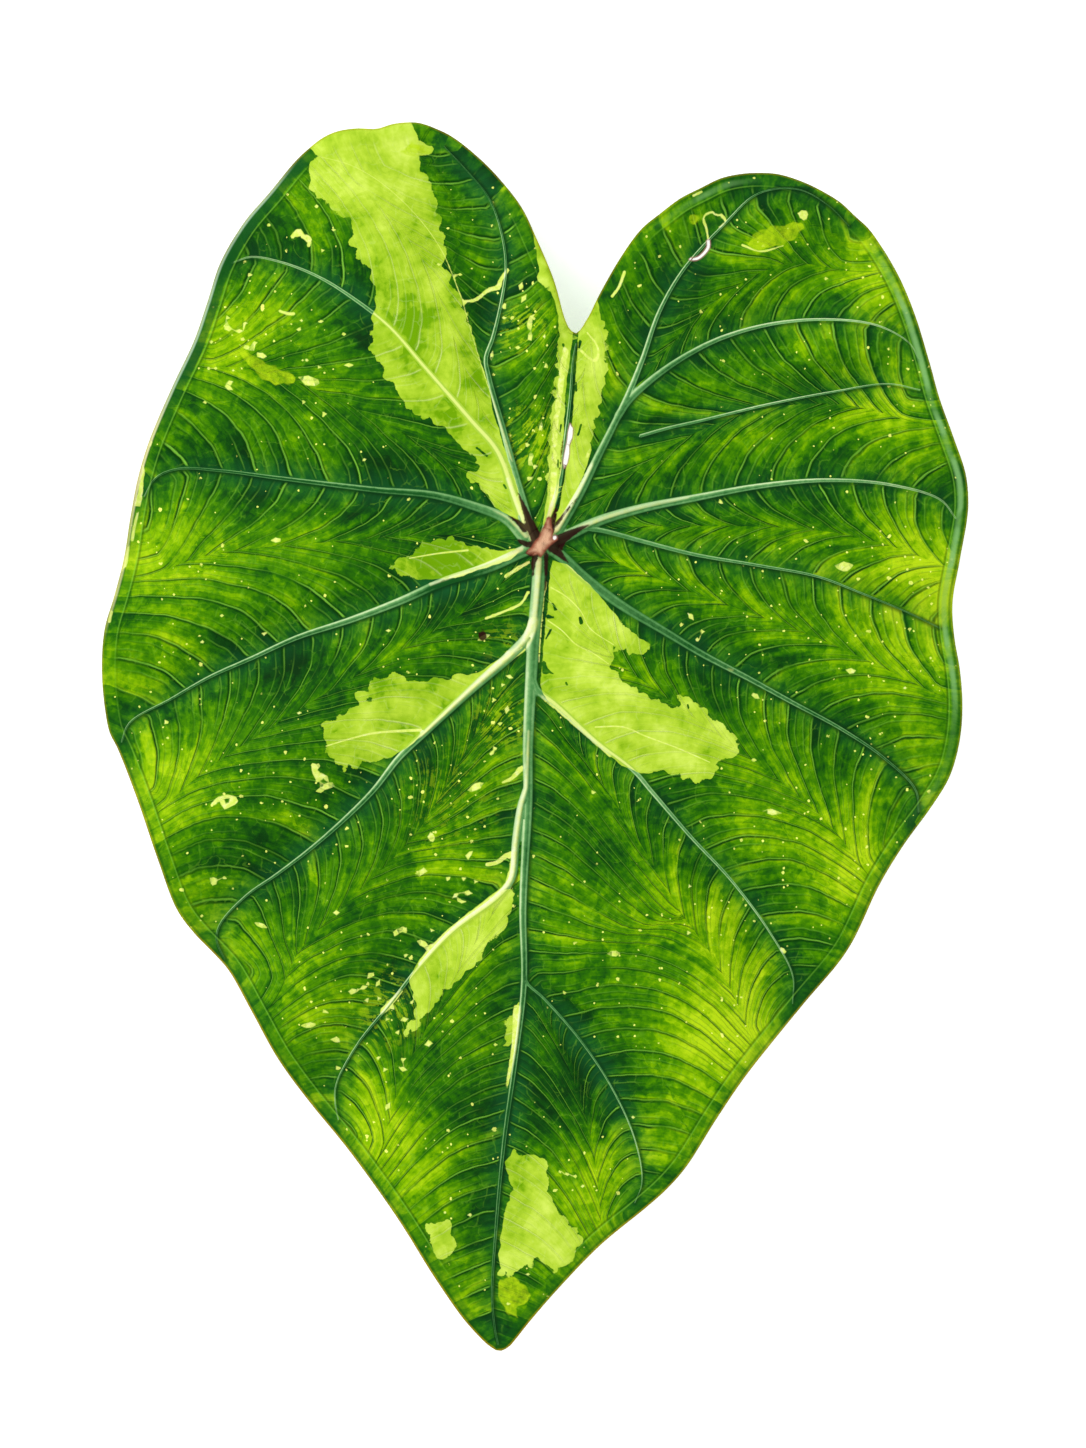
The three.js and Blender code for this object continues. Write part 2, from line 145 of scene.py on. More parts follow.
# %% Ribs
RIBS = {
    "midrib": (None, (2.6, 0.9), [
        (541, 555), (538, 590), (534, 634), (531, 681), (528, 747), (528, 800), (523, 907),
        (524, 982), (515, 1062), (504, 1142), (496, 1228), (492, 1298), (495, 1332), (498, 1346)]),
    "sinus": (None, (1.3, 0.8), [
        (545, 530), (558, 490), (564, 450), (570, 400), (573, 361), (576, 345)]),
    "left1": (None, (1.9, 0.8), [
        (532, 540), (517, 505), (498, 453), (471, 421), (424, 367), (390, 328), (359, 303),
        (320, 278), (281, 262), (250, 256), (231, 262)]),
    "left2": (None, (1.7, 0.4), [
        (537, 542), (520, 492), (504, 433), (489, 378), (486, 360), (493, 339), (502, 300),
        (506, 267), (501, 232), (489, 199), (467, 171), (444, 146)]),
    "left3": (None, (2.0, 0.8), [
        (530, 544), (506, 520), (474, 507), (434, 496), (380, 491), (330, 485), (275, 478),
        (221, 471), (177, 469), (155, 478), (144, 496)]),
    "left4": (None, (2.2, 0.8), [
        (526, 551), (489, 568), (445, 582), (402, 601), (352, 620), (297, 638), (253, 658),
        (210, 677), (171, 699), (129, 723), (121, 742)]),
    "left5": ("midrib", (2.1, 0.8), [
        (530, 634), (511, 655), (471, 690), (426, 732), (400, 757), (374, 790), (347, 817),
        (314, 846), (276, 875), (247, 895), (220, 924), (216, 940), (224, 960)]),
    "left6": ("midrib", (1.7, 0.6), [
        (522, 805), (516, 840), (512, 878), (499, 895), (453, 930), (421, 964), (389, 1005),
        (357, 1045), (336, 1085), (335, 1104), (338, 1120)]),
    "right1": (None, (1.9, 0.3), [
        (552, 538), (576, 501), (598, 457), (626, 400), (642, 361), (659, 313), (683, 271),
        (724, 225), (758, 194), (799, 189), (830, 205), (850, 225)]),
    "right1_branch": ("right1", (1.4, 0.6), [
        (628, 402), (652, 380), (685, 357), (723, 338), (773, 324), (826, 320), (878, 326),
        (910, 343), (919, 358)]),
    "right_between": ("panel", (0.6, 0.7), [
        (640, 437), (668, 429), (699, 422), (769, 405), (834, 392), (889, 384), (920, 390)]),
    "right2": (None, (2.2, 0.8), [
        (561, 539), (598, 522), (642, 509), (693, 499), (758, 487), (823, 481), (889, 485),
        (941, 500), (956, 518)]),
    "right3": ("right2", (0.9, 0.6), [
        (600, 531), (642, 542), (693, 555), (758, 566), (817, 577), (860, 593), (911, 614),
        (940, 628)]),
    "right4": (None, (2.2, 0.8), [
        (560, 556), (583, 577), (620, 605), (663, 631), (703, 655), (747, 678), (791, 702),
        (841, 729), (884, 758), (916, 790), (919, 812)]),
    "right5": ("midrib", (1.3, 0.6), [
        (537, 690), (554, 703), (598, 743), (633, 770), (652, 792), (691, 837), (731, 880),
        (769, 931), (793, 976), (793, 1004)]),
    "right6": ("midrib", (0.5, 0.45), [
        (527, 982), (544, 998), (579, 1038), (611, 1086), (635, 1140), (642, 1183), (635, 1203)]),
}
print(len(RIBS), "ribs")

# %% Chains from the knot to the margin
RIB_STEP = 1.3
BRANCH_RUN = 3.0  # mm that a side rib runs along its parent before it leaves it


def nearest(line, p):
    """Distance from each point of p to the line, and how far along the line that is, in mm."""
    best, where, start = np.full(len(p), np.inf), np.zeros(len(p)), 0.0
    for a, b in zip(line, line[1:]):
        along = b - a
        length = np.linalg.norm(along)
        t = np.clip((p - a) @ along / length**2, 0, 1)
        distance = np.linalg.norm(p - a - t[:, None] * along, axis=1)
        closer = distance < best
        best[closer] = distance[closer]
        where[closer] = start + t[closer] * length
        start += length
    return best, where


ribs, chains = {}, {}
for name, (parent, half, path) in RIBS.items():
    own = plan(path)
    trunk = np.zeros((1, 2))
    if parent in chains:
        _, along = nearest(chains[parent], own[:1])
        steps = np.r_[0, np.cumsum(np.linalg.norm(np.diff(chains[parent], axis=0), axis=1))]
        trunk = chains[parent][steps <= max(1.0, along[0] - BRANCH_RUN)]
    to_edge = np.linalg.norm(outline - own[-1], axis=1).argmin()
    if name == "sinus":
        to_edge = 0  # the outline starts at the bottom of the sinus
    if parent != "panel":
        own = np.vstack([trunk[-1:], own])
    line = smooth_line(own, RIB_STEP)
    ribs[name] = {"line": line, "half": half, "edge": to_edge}
    chains[name] = np.vstack([trunk, line[1:], outline[ribs[name]["edge"]][None]])
print("ribs of", round(sum(len(rib["line"]) for rib in ribs.values()) * RIB_STEP), "mm in all")

# %% [markdown]
# ## Panels
# Between two neighbouring ribs lies a panel. Side veins leave each rib, curve towards the margin and
# meet those of the other rib on a line that the third number gives: the share of the panel's width
# that belongs to the first rib. The fourth is the distance in mm between strong side veins.

# %% Panels, clockwise from the sinus
PANELS = [
    ("sinus", "right1", 0.2, 8.0), ("right1", "right1_branch", 0.5, 8.0),
    ("right1_branch", "right2", 0.5, 8.6), ("right2", "right3", 0.5, 8.0),
    ("right3", "right4", 0.45, 8.0), ("right4", "right5", 0.42, 7.2), ("right5", "right6", 0.27, 6.2),
    ("right6", "midrib", 0.3, 6.0), ("midrib", "left6", 0.68, 6.4), ("left6", "left5", 0.6, 6.8),
    ("left5", "left4", 0.62, 7.8), ("left4", "left3", 0.58, 8.8), ("left3", "left1", 0.5, 8.6),
    ("left1", "left2", 0.5, 8.0), ("left2", "sinus", 0.8, 8.0),
]
ROUNDING = 160  # turns of smoothing, which ease a bend over about 30 mm


def rounded(line):
    """The line with its bends eased, so that side veins fan round them."""
    line = resample(line, RIB_STEP)
    for _ in range(ROUNDING):
        line[1:-1] = (line[:-2] + 2 * line[1:-1] + line[2:]) / 4
    return line


flow = {name: rounded(chain) for name, chain in chains.items()}
print(len(PANELS), "panels")

# %% Which panel a point lies in


def inside(polygon, p):
    """True where a point of p lies inside the closed polygon."""
    found = np.zeros(len(p), bool)
    for (ax, ay), (bx, by) in zip(polygon, np.roll(polygon, -1, axis=0)):
        if ay != by:
            crosses = (ay > p[:, 1]) != (by > p[:, 1])
            found ^= crosses & (p[:, 0] < ax + (p[:, 1] - ay) / (by - ay) * (bx - ax))
    return found


def panel_polygon(first, second):
    """Out along the first chain, round the margin and back along the second."""
    start, end = ribs[first]["edge"], ribs[second]["edge"]
    margin = outline[start:end] if end > start else np.vstack([outline[start:], outline[:end]])
    return np.vstack([chains[first], margin, chains[second][::-1]])


def panel_of(p):
    """The number of the panel that each point lies in, -1 for none."""
    number = np.full(len(p), -1)
    for i, (first, second, _, _) in enumerate(PANELS):
        number[inside(panel_polygon(first, second), p)] = i
    return number


print("points round each panel:", [len(panel_polygon(*panel[:2])) for panel in PANELS])

# %% [markdown]
# ## Lime patches, cream streaks and flecks
# The variegation is sharp-edged, so each patch is a polygon with only the corners that its shape
# needs. Its distance is stored in the net, and the material roughens the edge with fine noise. A
# narrow mark is a streak: its half width in mm at either end, and its path.

# %% Lime patches, in pixels of the photograph
PATCHES_PX = {
    "upper_left": [
        (308, 146), (319, 157), (310, 164), (308, 175), (310, 188), (320, 198), (331, 208), (342, 216),
        (350, 223), (352, 234), (351, 243), (357, 256), (367, 267), (371, 276), (376, 291),
        (377, 310), (371, 318), (374, 328), (370, 348), (380, 361), (384, 377), (392, 385),
        (393, 391), (402, 400), (417, 415), (430, 420), (443, 429), (456, 444), (469, 453),
        (475, 455), (480, 467), (479, 472), (469, 471), (468, 479), (476, 483), (487, 496),
        (495, 507), (504, 514), (515, 520), (524, 529), (533, 540), (530, 529), (519, 494),
        (511, 468), (502, 441), (493, 411), (489, 387), (483, 369), (478, 354), (471, 332),
        (464, 308), (457, 295), (450, 280), (445, 263), (446, 254), (443, 241), (442, 225),
        (437, 212), (435, 199), (429, 182), (427, 175), (419, 169), (416, 162), (420, 157),
        (431, 157), (433, 149), (426, 144), (419, 140), (417, 134), (413, 127), (408, 117),
        (377, 122), (350, 123), (325, 130)],
    "sinus_left": [
        (543, 526), (546, 503), (548, 464), (550, 420), (554, 400), (558, 361), (560, 340),
        (558, 318), (555, 303), (549, 288), (545, 291), (539, 283), (538, 262), (532, 230),
        (548, 236), (562, 280), (570, 325), (573, 333), (572, 345), (570, 361), (566, 384),
        (564, 423), (562, 461), (557, 500), (551, 530)],
    "sinus_right": [
        (552, 537), (559, 508), (566, 470), (572, 426), (575, 384), (577, 361), (578, 336),
        (584, 318), (597, 298), (600, 320), (608, 340), (608, 361), (600, 400), (596, 420),
        (591, 440), (590, 457), (583, 477), (569, 508)],
    "below_left3": [
        (523, 549), (502, 551), (489, 551), (480, 548), (470, 544), (464, 540), (445, 540),
        (426, 542), (414, 551), (412, 556), (400, 559), (390, 565), (394, 570), (402, 574),
        (404, 579), (434, 580), (455, 579), (478, 571), (511, 560)],
    "left5": [
        (522, 648), (500, 658), (480, 673), (463, 674), (452, 675), (450, 679), (434, 680),
        (410, 679), (404, 674), (391, 675), (375, 681), (367, 688), (355, 692), (358, 698),
        (371, 699), (358, 705), (341, 716), (321, 725), (326, 734), (326, 747), (329, 754),
        (346, 769), (371, 763), (392, 757), (414, 743), (441, 718), (471, 690), (498, 665)],
    "right_centre": [
        (552, 560), (567, 565), (580, 577), (594, 590), (607, 605), (618, 618), (631, 634),
        (646, 642), (652, 651), (645, 656), (631, 653), (613, 647), (613, 655), (611, 664),
        (615, 673), (622, 681), (635, 689), (648, 697), (663, 705), (679, 710), (677, 697),
        (684, 696), (692, 701), (700, 707), (710, 717), (721, 723), (730, 732), (736, 739),
        (737, 749), (732, 758), (720, 761), (714, 763), (715, 771), (709, 780), (694, 780),
        (680, 776), (663, 771), (652, 773), (638, 773), (621, 765), (593, 741), (564, 716),
        (545, 698), (540, 684), (543, 652), (547, 610), (549, 585)],
    "left6": [
        (516, 888), (512, 905), (507, 927), (496, 938), (483, 951), (476, 964), (461, 978),
        (448, 987), (440, 994), (432, 1010), (421, 1023), (410, 1034), (402, 1045), (404, 1034),
        (413, 1018), (417, 1007), (413, 991), (409, 980), (418, 961), (450, 927), (496, 891)],
    "beside_midrib": [
        (519, 1002), (510, 1013), (504, 1028), (507, 1036), (506, 1047), (513, 1043), (518, 1022)],
    "above_tip": [
        (514, 1149), (505, 1162), (508, 1175), (513, 1189), (510, 1200), (504, 1212), (503, 1225),
        (500, 1239), (501, 1246), (498, 1257), (502, 1268), (496, 1276), (505, 1277), (516, 1274),
        (523, 1268), (532, 1267), (538, 1261), (548, 1266), (554, 1275), (560, 1268), (573, 1262),
        (576, 1252), (584, 1241), (576, 1230), (567, 1225), (566, 1218), (555, 1207), (551, 1196),
        (548, 1186), (549, 1173), (549, 1166), (542, 1157), (537, 1154), (526, 1153)],
    "left_of_tip": [
        (446, 1219), (430, 1223), (425, 1230), (428, 1241), (432, 1250), (437, 1259), (450, 1265),
        (449, 1255), (458, 1245), (454, 1234), (453, 1227)],
}
print(len(PATCHES_PX), "lime patches")

# %% Cream streaks along ribs, partly painted highlights on their lit sides
CREAM_AND_HIGHLIGHT_PX = {  # streaks along ribs: half width in mm at either end, and path
    "left5": (1.3, 0.9, [(534, 622), (524, 645), (511, 656), (498, 665)]),
    "left5_far": (0.9, 0.3, [(498, 665), (471, 690), (441, 718), (420, 737)]),
    "left6_root": (0.35, 0.8, [(526, 786), (521, 805), (518, 825), (515, 850), (512, 874)]),
    "left6": (0.9, 0.7, [(512, 872), (508, 885), (499, 894), (475, 912),
                         (453, 929), (434, 947), (421, 963)]),
    "left6_end": (0.4, 0.8, [(401, 991), (392, 1001), (383, 1011)]),
    "midrib_low": (0.9, 0.25, [(517, 1008), (514, 1045), (509, 1074), (506, 1088)]),
    "midrib_high": (0.2, 0.3, [(529, 730), (528, 750), (526, 786)]),
    "midrib_top": (0.6, 0.55, [(539, 560), (536, 600), (533, 628)]),
    "left4_root": (0.5, 0.2, [(521, 550), (500, 559), (478, 568), (455, 576), (430, 585)]),
    "left3_root": (0.35, 0.05, [(526, 537), (508, 519), (494, 512)]),
    "left1_root": (0.6, 0.3, [(533, 541), (525, 523), (517, 503), (508, 480)]),
    "sinus_rib": (0.6, 0.75, [(548, 527), (552, 503), (554, 475), (555, 430), (559, 400), (563, 366),
                              (566, 350)]),
    "right1_root": (0.7, 0.3, [(556, 531), (566, 513), (580, 488), (592, 464)]),
    "right2_root": (0.4, 0.05, [(579, 529), (598, 521), (630, 511), (660, 504), (690, 498)]),
    "right5_root": (0.25, 0.3, [(541, 696), (556, 709), (590, 738), (610, 756)]),
}
print(len(CREAM_AND_HIGHLIGHT_PX), "cream streaks")

# %% Free-standing flecks and two painted highlights: streaks, small shapes and ragged spots
FLECK_AND_GLINT_STREAKS_PX = [
    (0.0, 0.05, [(318, 157), (350, 166), (380, 183), (416, 216), (442, 252), (462, 300)]),
    (0.05, 0.1, [(462, 300), (477, 352), (494, 405), (512, 462)]),
    (0.3, 0.5, [(464, 303), (476, 301), (489, 291), (499, 289)]),
    (0.5, 0.35, [(499, 289), (501, 281), (508, 271)]),
    (0.2, 0.22, [(708, 241), (706, 229), (703, 220), (706, 215), (712, 213)]),
    (0.22, 0.28, [(712, 213), (716, 216), (722, 216), (725, 221)]),
    (0.3, 0.45, [(151, 442), (146, 454), (143, 464)]),
    (0.3, 0.75, [(143, 470), (141, 480), (140, 492), (137, 504)]),
    (0.3, 0.35, [(137, 514), (134, 527), (132, 540)]),
    (0.4, 0.65, [(128, 549), (126, 560), (123, 572)]),
    (0.4, 0.3, [(118, 588), (114, 603), (110, 622)]),
    # the next streak is a painted highlight at the tip of a rib
    (0.15, 0.2, [(719, 228), (724, 225)]),
    (0.3, 0.25, [(693, 197), (701, 193)]),
    (0.5, 0.4, [(293, 237), (299, 231), (304, 238), (310, 238), (309, 246)]),
    (0.25, 0.6, [(503, 782), (512, 778), (521, 768)]),
    (0.4, 0.6, [(487, 864), (497, 862), (505, 856), (513, 853)]),
    (0.5, 0.5, [(314, 765), (316, 774), (324, 776)]),
    (0.35, 0.45, [(213, 804), (220, 798), (234, 797), (237, 801), (226, 807)]),
    (0.35, 0.45, [(529, 563), (518, 569), (506, 577)]),
    (0.25, 0.3, [(528, 593), (521, 604), (504, 612), (486, 619)]),
    (0.3, 0.35, [(612, 298), (619, 288), (624, 274)]),
    (0.25, 0.12, [(742, 246), (760, 252), (783, 246)]),
    (0.3, 0.3, [(280, 311), (287, 314), (294, 314)]),
    (0.15, 0.3, [(587, 334), (597, 348), (598, 358), (595, 363), (588, 359), (581, 352)]),
    (0.35, 0.1, [(421, 730), (400, 731), (375, 733), (350, 739), (327, 746)]),
    (0.22, 0.1, [(468, 551), (440, 554), (410, 559)]),
    (0.16, 0.08, [(595, 727), (623, 727), (645, 736), (677, 748), (709, 762)]),
    (0.12, 0.05, [(551, 588), (566, 597), (580, 611), (590, 629), (613, 645)]),
    (0.12, 0.05, [(548, 621), (562, 631), (576, 645), (592, 653), (608, 664)]),
    (0.2, 0.15, [(546, 583), (543, 603), (540, 640), (539, 662)]),
]
FLECK_SHAPES_PX = [
    [(798, 213), (804, 209), (809, 212), (806, 221), (801, 219)],
    [(834, 566), (843, 562), (853, 566), (846, 572), (839, 571)],
    [(845, 670), (851, 668), (856, 672), (849, 675)],
    [(762, 811), (770, 808), (781, 813), (771, 815)],
    [(607, 953), (613, 949), (620, 952), (614, 957)],
    [(299, 378), (308, 376), (321, 382), (318, 387), (306, 386)],
    [(317, 791), (325, 784), (332, 781), (336, 786), (326, 789), (320, 793)],
    [(302, 1025), (310, 1021), (318, 1024), (309, 1028)],
    [(331, 1039), (338, 1036), (341, 1042), (336, 1042)],
    [(272, 541), (277, 538), (283, 540), (278, 544)],
    [(468, 790), (475, 783), (484, 782), (480, 789), (470, 792)],
    [(428, 836), (432, 830), (436, 838), (432, 843)],
    [(466, 855), (472, 849), (474, 852), (468, 859)],
    [(416, 873), (424, 867), (428, 871), (420, 876)],
    [(425, 1044), (429, 1039), (433, 1043), (428, 1047)],
]
FLECK_AND_GLINT_SPOTS_PX = [  # centre, length, width, and rise to the right in degrees
    (730, 670, 6, 3), (755, 696, 9, 5, -35), (904, 688, 4, 3), (365, 461, 5, 3, 20), (389, 631, 4, 3),
    (495, 748, 5, 4), (491, 754, 4, 3), (464, 878, 6, 4, 20), (448, 878, 7, 4, 30), (476, 881, 5, 3),
    (456, 895, 9, 4, 40), (468, 892, 8, 4, -10), (462, 901, 8, 3), (396, 932, 8, 5, 70),
    (405, 929, 8, 5, -60), (406, 955, 7, 3, 20), (424, 943, 14, 6, -25), (432, 930, 5, 4),
    (496, 1044, 3, 3), (385, 1069, 6, 5), (404, 1059, 7, 4, 30), (403, 1068, 9, 4, -20),
    (214, 879, 9, 4, -10), (260, 925, 14, 5, -20), (337, 912, 6, 4), (378, 983, 9, 4, 60),
    (353, 991, 9, 6, 30), (364, 987, 10, 3, 20), (371, 975, 9, 4, 40), (367, 1000, 8, 4, 50),
    (379, 998, 5, 4), (392, 1007, 9, 4, -40), (398, 1032, 6, 4, 60), (405, 1019, 9, 4, 10),
    (387, 1019, 5, 3), (412, 1002, 6, 3, 60), (325, 1011, 7, 3, -20), (338, 1068, 8, 5),
    (378, 1058, 7, 3, 30), (388, 1106, 9, 4, 60), (689, 886, 5, 4), (688, 932, 5, 4),
    (783, 950, 8, 5, -30), (593, 792, 5, 3), (564, 992, 4, 3), (470, 1215, 4, 3), (445, 1212, 3, 3),
    (528, 1275, 5, 3), (508, 1305, 4, 3), (633, 1117, 3, 3), (560, 1171, 3, 3), (567, 1174, 4, 3),
    (575, 1176, 3, 3), (583, 1186, 4, 3), (690, 617, 8, 4, -50), (702, 632, 5, 4), (697, 640, 4, 4),
    (510, 677, 8, 4, -20), (503, 685, 4, 4), (507, 710, 8, 4, 80), (500, 724, 5, 3, 30),
    (494, 700, 4, 4), (753, 760, 4, 3), (484, 638, 11, 5, 25), (508, 653, 8, 4, 30),
    # the spot at 555, 539 on the next line is a painted highlight on the knot
    (720, 503, 6, 3, -30), (555, 539, 3, 3), (505, 307, 7, 5, 60), (524, 300, 9, 5, 60),
    (521, 287, 8, 4, 70), (504, 319, 4, 3), (532, 318, 5, 3, 40), (529, 326, 6, 4),
    (544, 338, 6, 4, 70), (530, 338, 12, 4, 80), (546, 368, 5, 4, 90), (518, 349, 4, 3),
    (492, 357, 11, 3, 80), (460, 276, 3, 3), (439, 266, 3, 3), (531, 459, 13, 4, 70),
    (535, 468, 7, 4, 20), (529, 480, 7, 4, 30), (540, 480, 4, 3), (527, 446, 5, 4),
    (541, 428, 12, 3, 80), (588, 455, 12, 3, 70), (228, 328, 10, 6, -15), (239, 331, 8, 4),
    (227, 318, 4, 4), (245, 323, 4, 3), (247, 348, 14, 3, -22), (262, 356, 13, 5, -10),
    (255, 343, 4, 3), (229, 388, 9, 5, -30), (231, 383, 8, 4, 20), (325, 415, 6, 5), (304, 403, 5, 4),
    (349, 366, 9, 4), (320, 368, 5, 3), (303, 361, 3, 3), (307, 361, 3, 3), (287, 313, 11, 3, -10),
    (302, 321, 3, 3), (321, 322, 4, 3), (269, 225, 4, 3), (317, 207, 3, 3), (323, 251, 4, 3),
    (334, 231, 3, 3), (249, 274, 4, 3), (211, 342, 4, 3), (209, 369, 3, 3), (216, 369, 3, 3),
    (234, 371, 4, 3), (206, 403, 4, 3), (299, 330, 4, 2), (344, 335, 4, 3), (216, 803, 7, 3, 20),
    (222, 799, 5, 4), (229, 796, 8, 3, -20), (317, 768, 9, 5, 60), (323, 776, 9, 3), (318, 781, 5, 3),
    (166, 722, 4, 4), (168, 738, 3, 3), (214, 883, 8, 4, 30), (225, 878, 4, 3), (223, 616, 4, 3),
    (265, 634, 6, 3, 30), (203, 642, 4, 3), (300, 713, 5, 3),
]
SPOT_CORNERS = 8
SPOT_REACH = (0.6, 1.1)  # of a corner, in half lengths or half widths
SPOT_EXTRA_PX = 1  # added to every length and width
rng = np.random.default_rng(11)


def ragged_spot(x, y, length, width, rise=0):
    """An uneven spot in photograph pixels."""
    turn, lean = 2 * np.pi * np.arange(SPOT_CORNERS) / SPOT_CORNERS, math.radians(rise)
    reach = rng.uniform(*SPOT_REACH, (2, SPOT_CORNERS)) / 2
    along = (length + SPOT_EXTRA_PX) * reach[0] * np.cos(turn)
    over = (width + SPOT_EXTRA_PX) * reach[1] * np.sin(turn)
    across = x + along * math.cos(lean) + over * math.sin(lean)
    down = y - along * math.sin(lean) + over * math.cos(lean)
    return np.column_stack([across, down])


flecks_and_glints_px = [*FLECK_AND_GLINT_STREAKS_PX, *FLECK_SHAPES_PX, *(ragged_spot(*spot) for spot in FLECK_AND_GLINT_SPOTS_PX)]
print(len(flecks_and_glints_px), "flecks")

# %% Half tones, islands, scars, a painted glint and wine-red wedges
SOFT_PX = {  # half-tone patches
    "below_tip_patch": [(499, 1281), (514, 1278), (526, 1288), (531, 1298), (526, 1304), (514, 1310),
                        (518, 1320), (505, 1312), (498, 1296)],
    "left_lobe": [(236, 350), (247, 352), (260, 360), (276, 368), (290, 372), (296, 379), (294, 385),
                  (282, 384), (277, 388), (262, 378), (248, 366)],
    "lobe_top": [(748, 246), (757, 232), (775, 226), (800, 222), (804, 228), (795, 238), (781, 246),
                 (764, 250)],
    "lobe_glow": [(690, 217), (696, 215), (700, 221), (696, 230), (691, 226)],
    "lobe_corner": [(401, 152), (411, 141), (419, 145), (430, 149), (431, 155), (417, 157), (406, 156)],
}
ISLANDS_PX = [  # green slits and drops left inside the lime patches, as streaks
    (0.4, 0.25, [(580, 343), (579, 349)]), (0.2, 0.3, [(576, 384), (576, 392)]),
    (0.25, 0.3, [(581, 426), (578, 436)]), (0.2, 0.2, [(561, 426), (560, 433)]),
    (0.2, 0.25, [(558, 461), (558, 468)]), (0.35, 0.1, [(563, 346), (565, 352)]),
    (0.15, 0.35, [(548, 588), (547, 603)]), (0.15, 0.3, [(553, 604), (556, 610)]),
    (0.6, 0.2, [(548, 617), (553, 618)]), (0.35, 0.55, [(580, 618), (581, 623)]),
    (0.2, 0.3, [(546, 639), (551, 630)]), (0.5, 0.7, [(544, 663), (545, 672)]),
    (0.6, 0.15, [(546, 670), (553, 674)]), (0.25, 0.25, [(566, 683), (567, 685)]),
    (0.25, 0.25, [(687, 705), (688, 708)]), (0.25, 0.3, [(477, 449), (487, 457)]),
    (0.25, 0.3, [(504, 486), (506, 489)]), (0.3, 0.2, [(519, 517), (521, 523)]),
    (0.15, 0.3, [(363, 687), (369, 686)]),
]
SCARS_AND_GLINT_PX = {  # the pale scars beside the sinus rib and at the end of a rib, and a wet glint on the knot
    "scar": [(570, 425), (573, 430), (572, 439), (569, 446), (569, 455), (567, 465), (564, 469),
             (563, 463), (565, 452), (567, 443), (568, 433)],
    "rib_end": (0.25, 0.35, [(690, 260), (696, 260), (702, 256), (708, 248), (708, 242)]),
    "glint": [(553, 537), (555, 536), (557, 538), (555, 541), (553, 540)],
}
WINE_PX = {  # dark red wedges between the roots of the ribs
    "upper_left": (1.45, 0.1, [(536, 538), (530, 524), (524, 508), (517, 491)]),
    "left": (0.9, 0.2, [(525, 530), (518, 523), (508, 517)]),
    "below_left": (0.9, 0.5, [(535, 546), (526, 545), (519, 541)]),
    "top": (0.2, 1.1, [(558, 505), (554, 517), (550, 531)]),
    "right": (1.7, 0.15, [(554, 544), (563, 539), (575, 532), (590, 525)]),
    "right_low": (1.3, 0.15, [(554, 549), (561, 556), (568, 564)]),
    "right_fan": (1.4, 0.8, [(552, 546), (560, 547)]),
    "lower_left": (0.8, 0.25, [(536, 556), (533, 566), (533, 578)]),
    "left4_notch": (0.8, 0.3, [(531, 554), (525, 553)]),
    "midrib_flank": (0.6, 0.15, [(546, 553), (546, 575), (545, 600)]),
    "right1_middle": (0.45, 0.15, [(556, 526), (567, 511), (578, 498)]),
    "teardrop": (0.6, 1.1, [(481, 630), (483, 637)]),
    "dot_a": (0.5, 0.5, [(412, 780), (414, 782)]),
    "slit_side": (0.25, 0.15, [(563, 440), (561, 458), (559, 475)]),
    "sinus_red": (0.05, 0.15, [(562, 322), (568, 333), (576, 336), (584, 329)]),
}
print(len(SOFT_PX), "half-tone patches,", len(ISLANDS_PX), "islands,", len(WINE_PX), "dark red wedges")

# %% Distance to marks
STREAK_STEP = 0.8
MARK_REACH = 6.0  # mm beyond a mark at which its distance no longer matters
FAR = 60.0  # mm, for points that are near no mark


def marks_at(p, shapes):
    """Signed distance in mm to the nearest of several polygons or streaks, negative inside."""
    best = np.full(len(p), FAR)
    for shape in shapes:
        streak = isinstance(shape, tuple)
        line = smooth_line(plan(shape[2]), STREAK_STEP) if streak else plan(shape)
        low, high = line.min(axis=0) - MARK_REACH, line.max(axis=0) + MARK_REACH
        near = ((p > low) & (p < high)).all(axis=1)
        if streak:
            distance, along = nearest(line, p[near])
            run = along / np.linalg.norm(np.diff(line, axis=0), axis=1).sum()
            distance -= shape[0] + (shape[1] - shape[0]) * run
        else:
            distance, _ = nearest(np.vstack([line, line[:1]]), p[near])
            distance *= np.where(inside(line, p[near]), -1, 1)
        best[near] = np.minimum(best[near], distance)
    return best


to_patch = marks_at(np.zeros((1, 2)), PATCHES_PX.values())[0]
print("from the knot to the nearest lime patch:", round(to_patch, 1), "mm")

# %% [markdown]
# ## The net of triangles
# A grid of squares would cut across the ribs and show them as steps. Instead rows of points run along
# every rib, along the outline and round the patches, an even scatter fills the panels, and Blender's
# constrained Delaunay triangulation joins them. That is the one flat sheet that the rest is made of.

# %% How wide a rib is, and which rib is nearest
UPPER_SHARE = (0.76, 0.28)  # a rib's upper side is narrower than its keel below: at root and end
TO_WINDOW = np.array([-0.8, 0.6])  # direction in plan that the light comes from


def rib_length(rib):
    return RIB_STEP * (len(rib["line"]) - 1)


def upper_share(run):
    """Width of a rib's upper side as a share of its keel's, at a share of its run."""
    return UPPER_SHARE[0] + (UPPER_SHARE[1] - UPPER_SHARE[0]) * run


def half_width(rib, along):
    """Half width of a rib's upper side in mm at a distance along its line."""
    run = np.clip(along / rib_length(rib), 0, 1)
    return (rib["half"][0] + (rib["half"][1] - rib["half"][0]) * run) * upper_share(run)


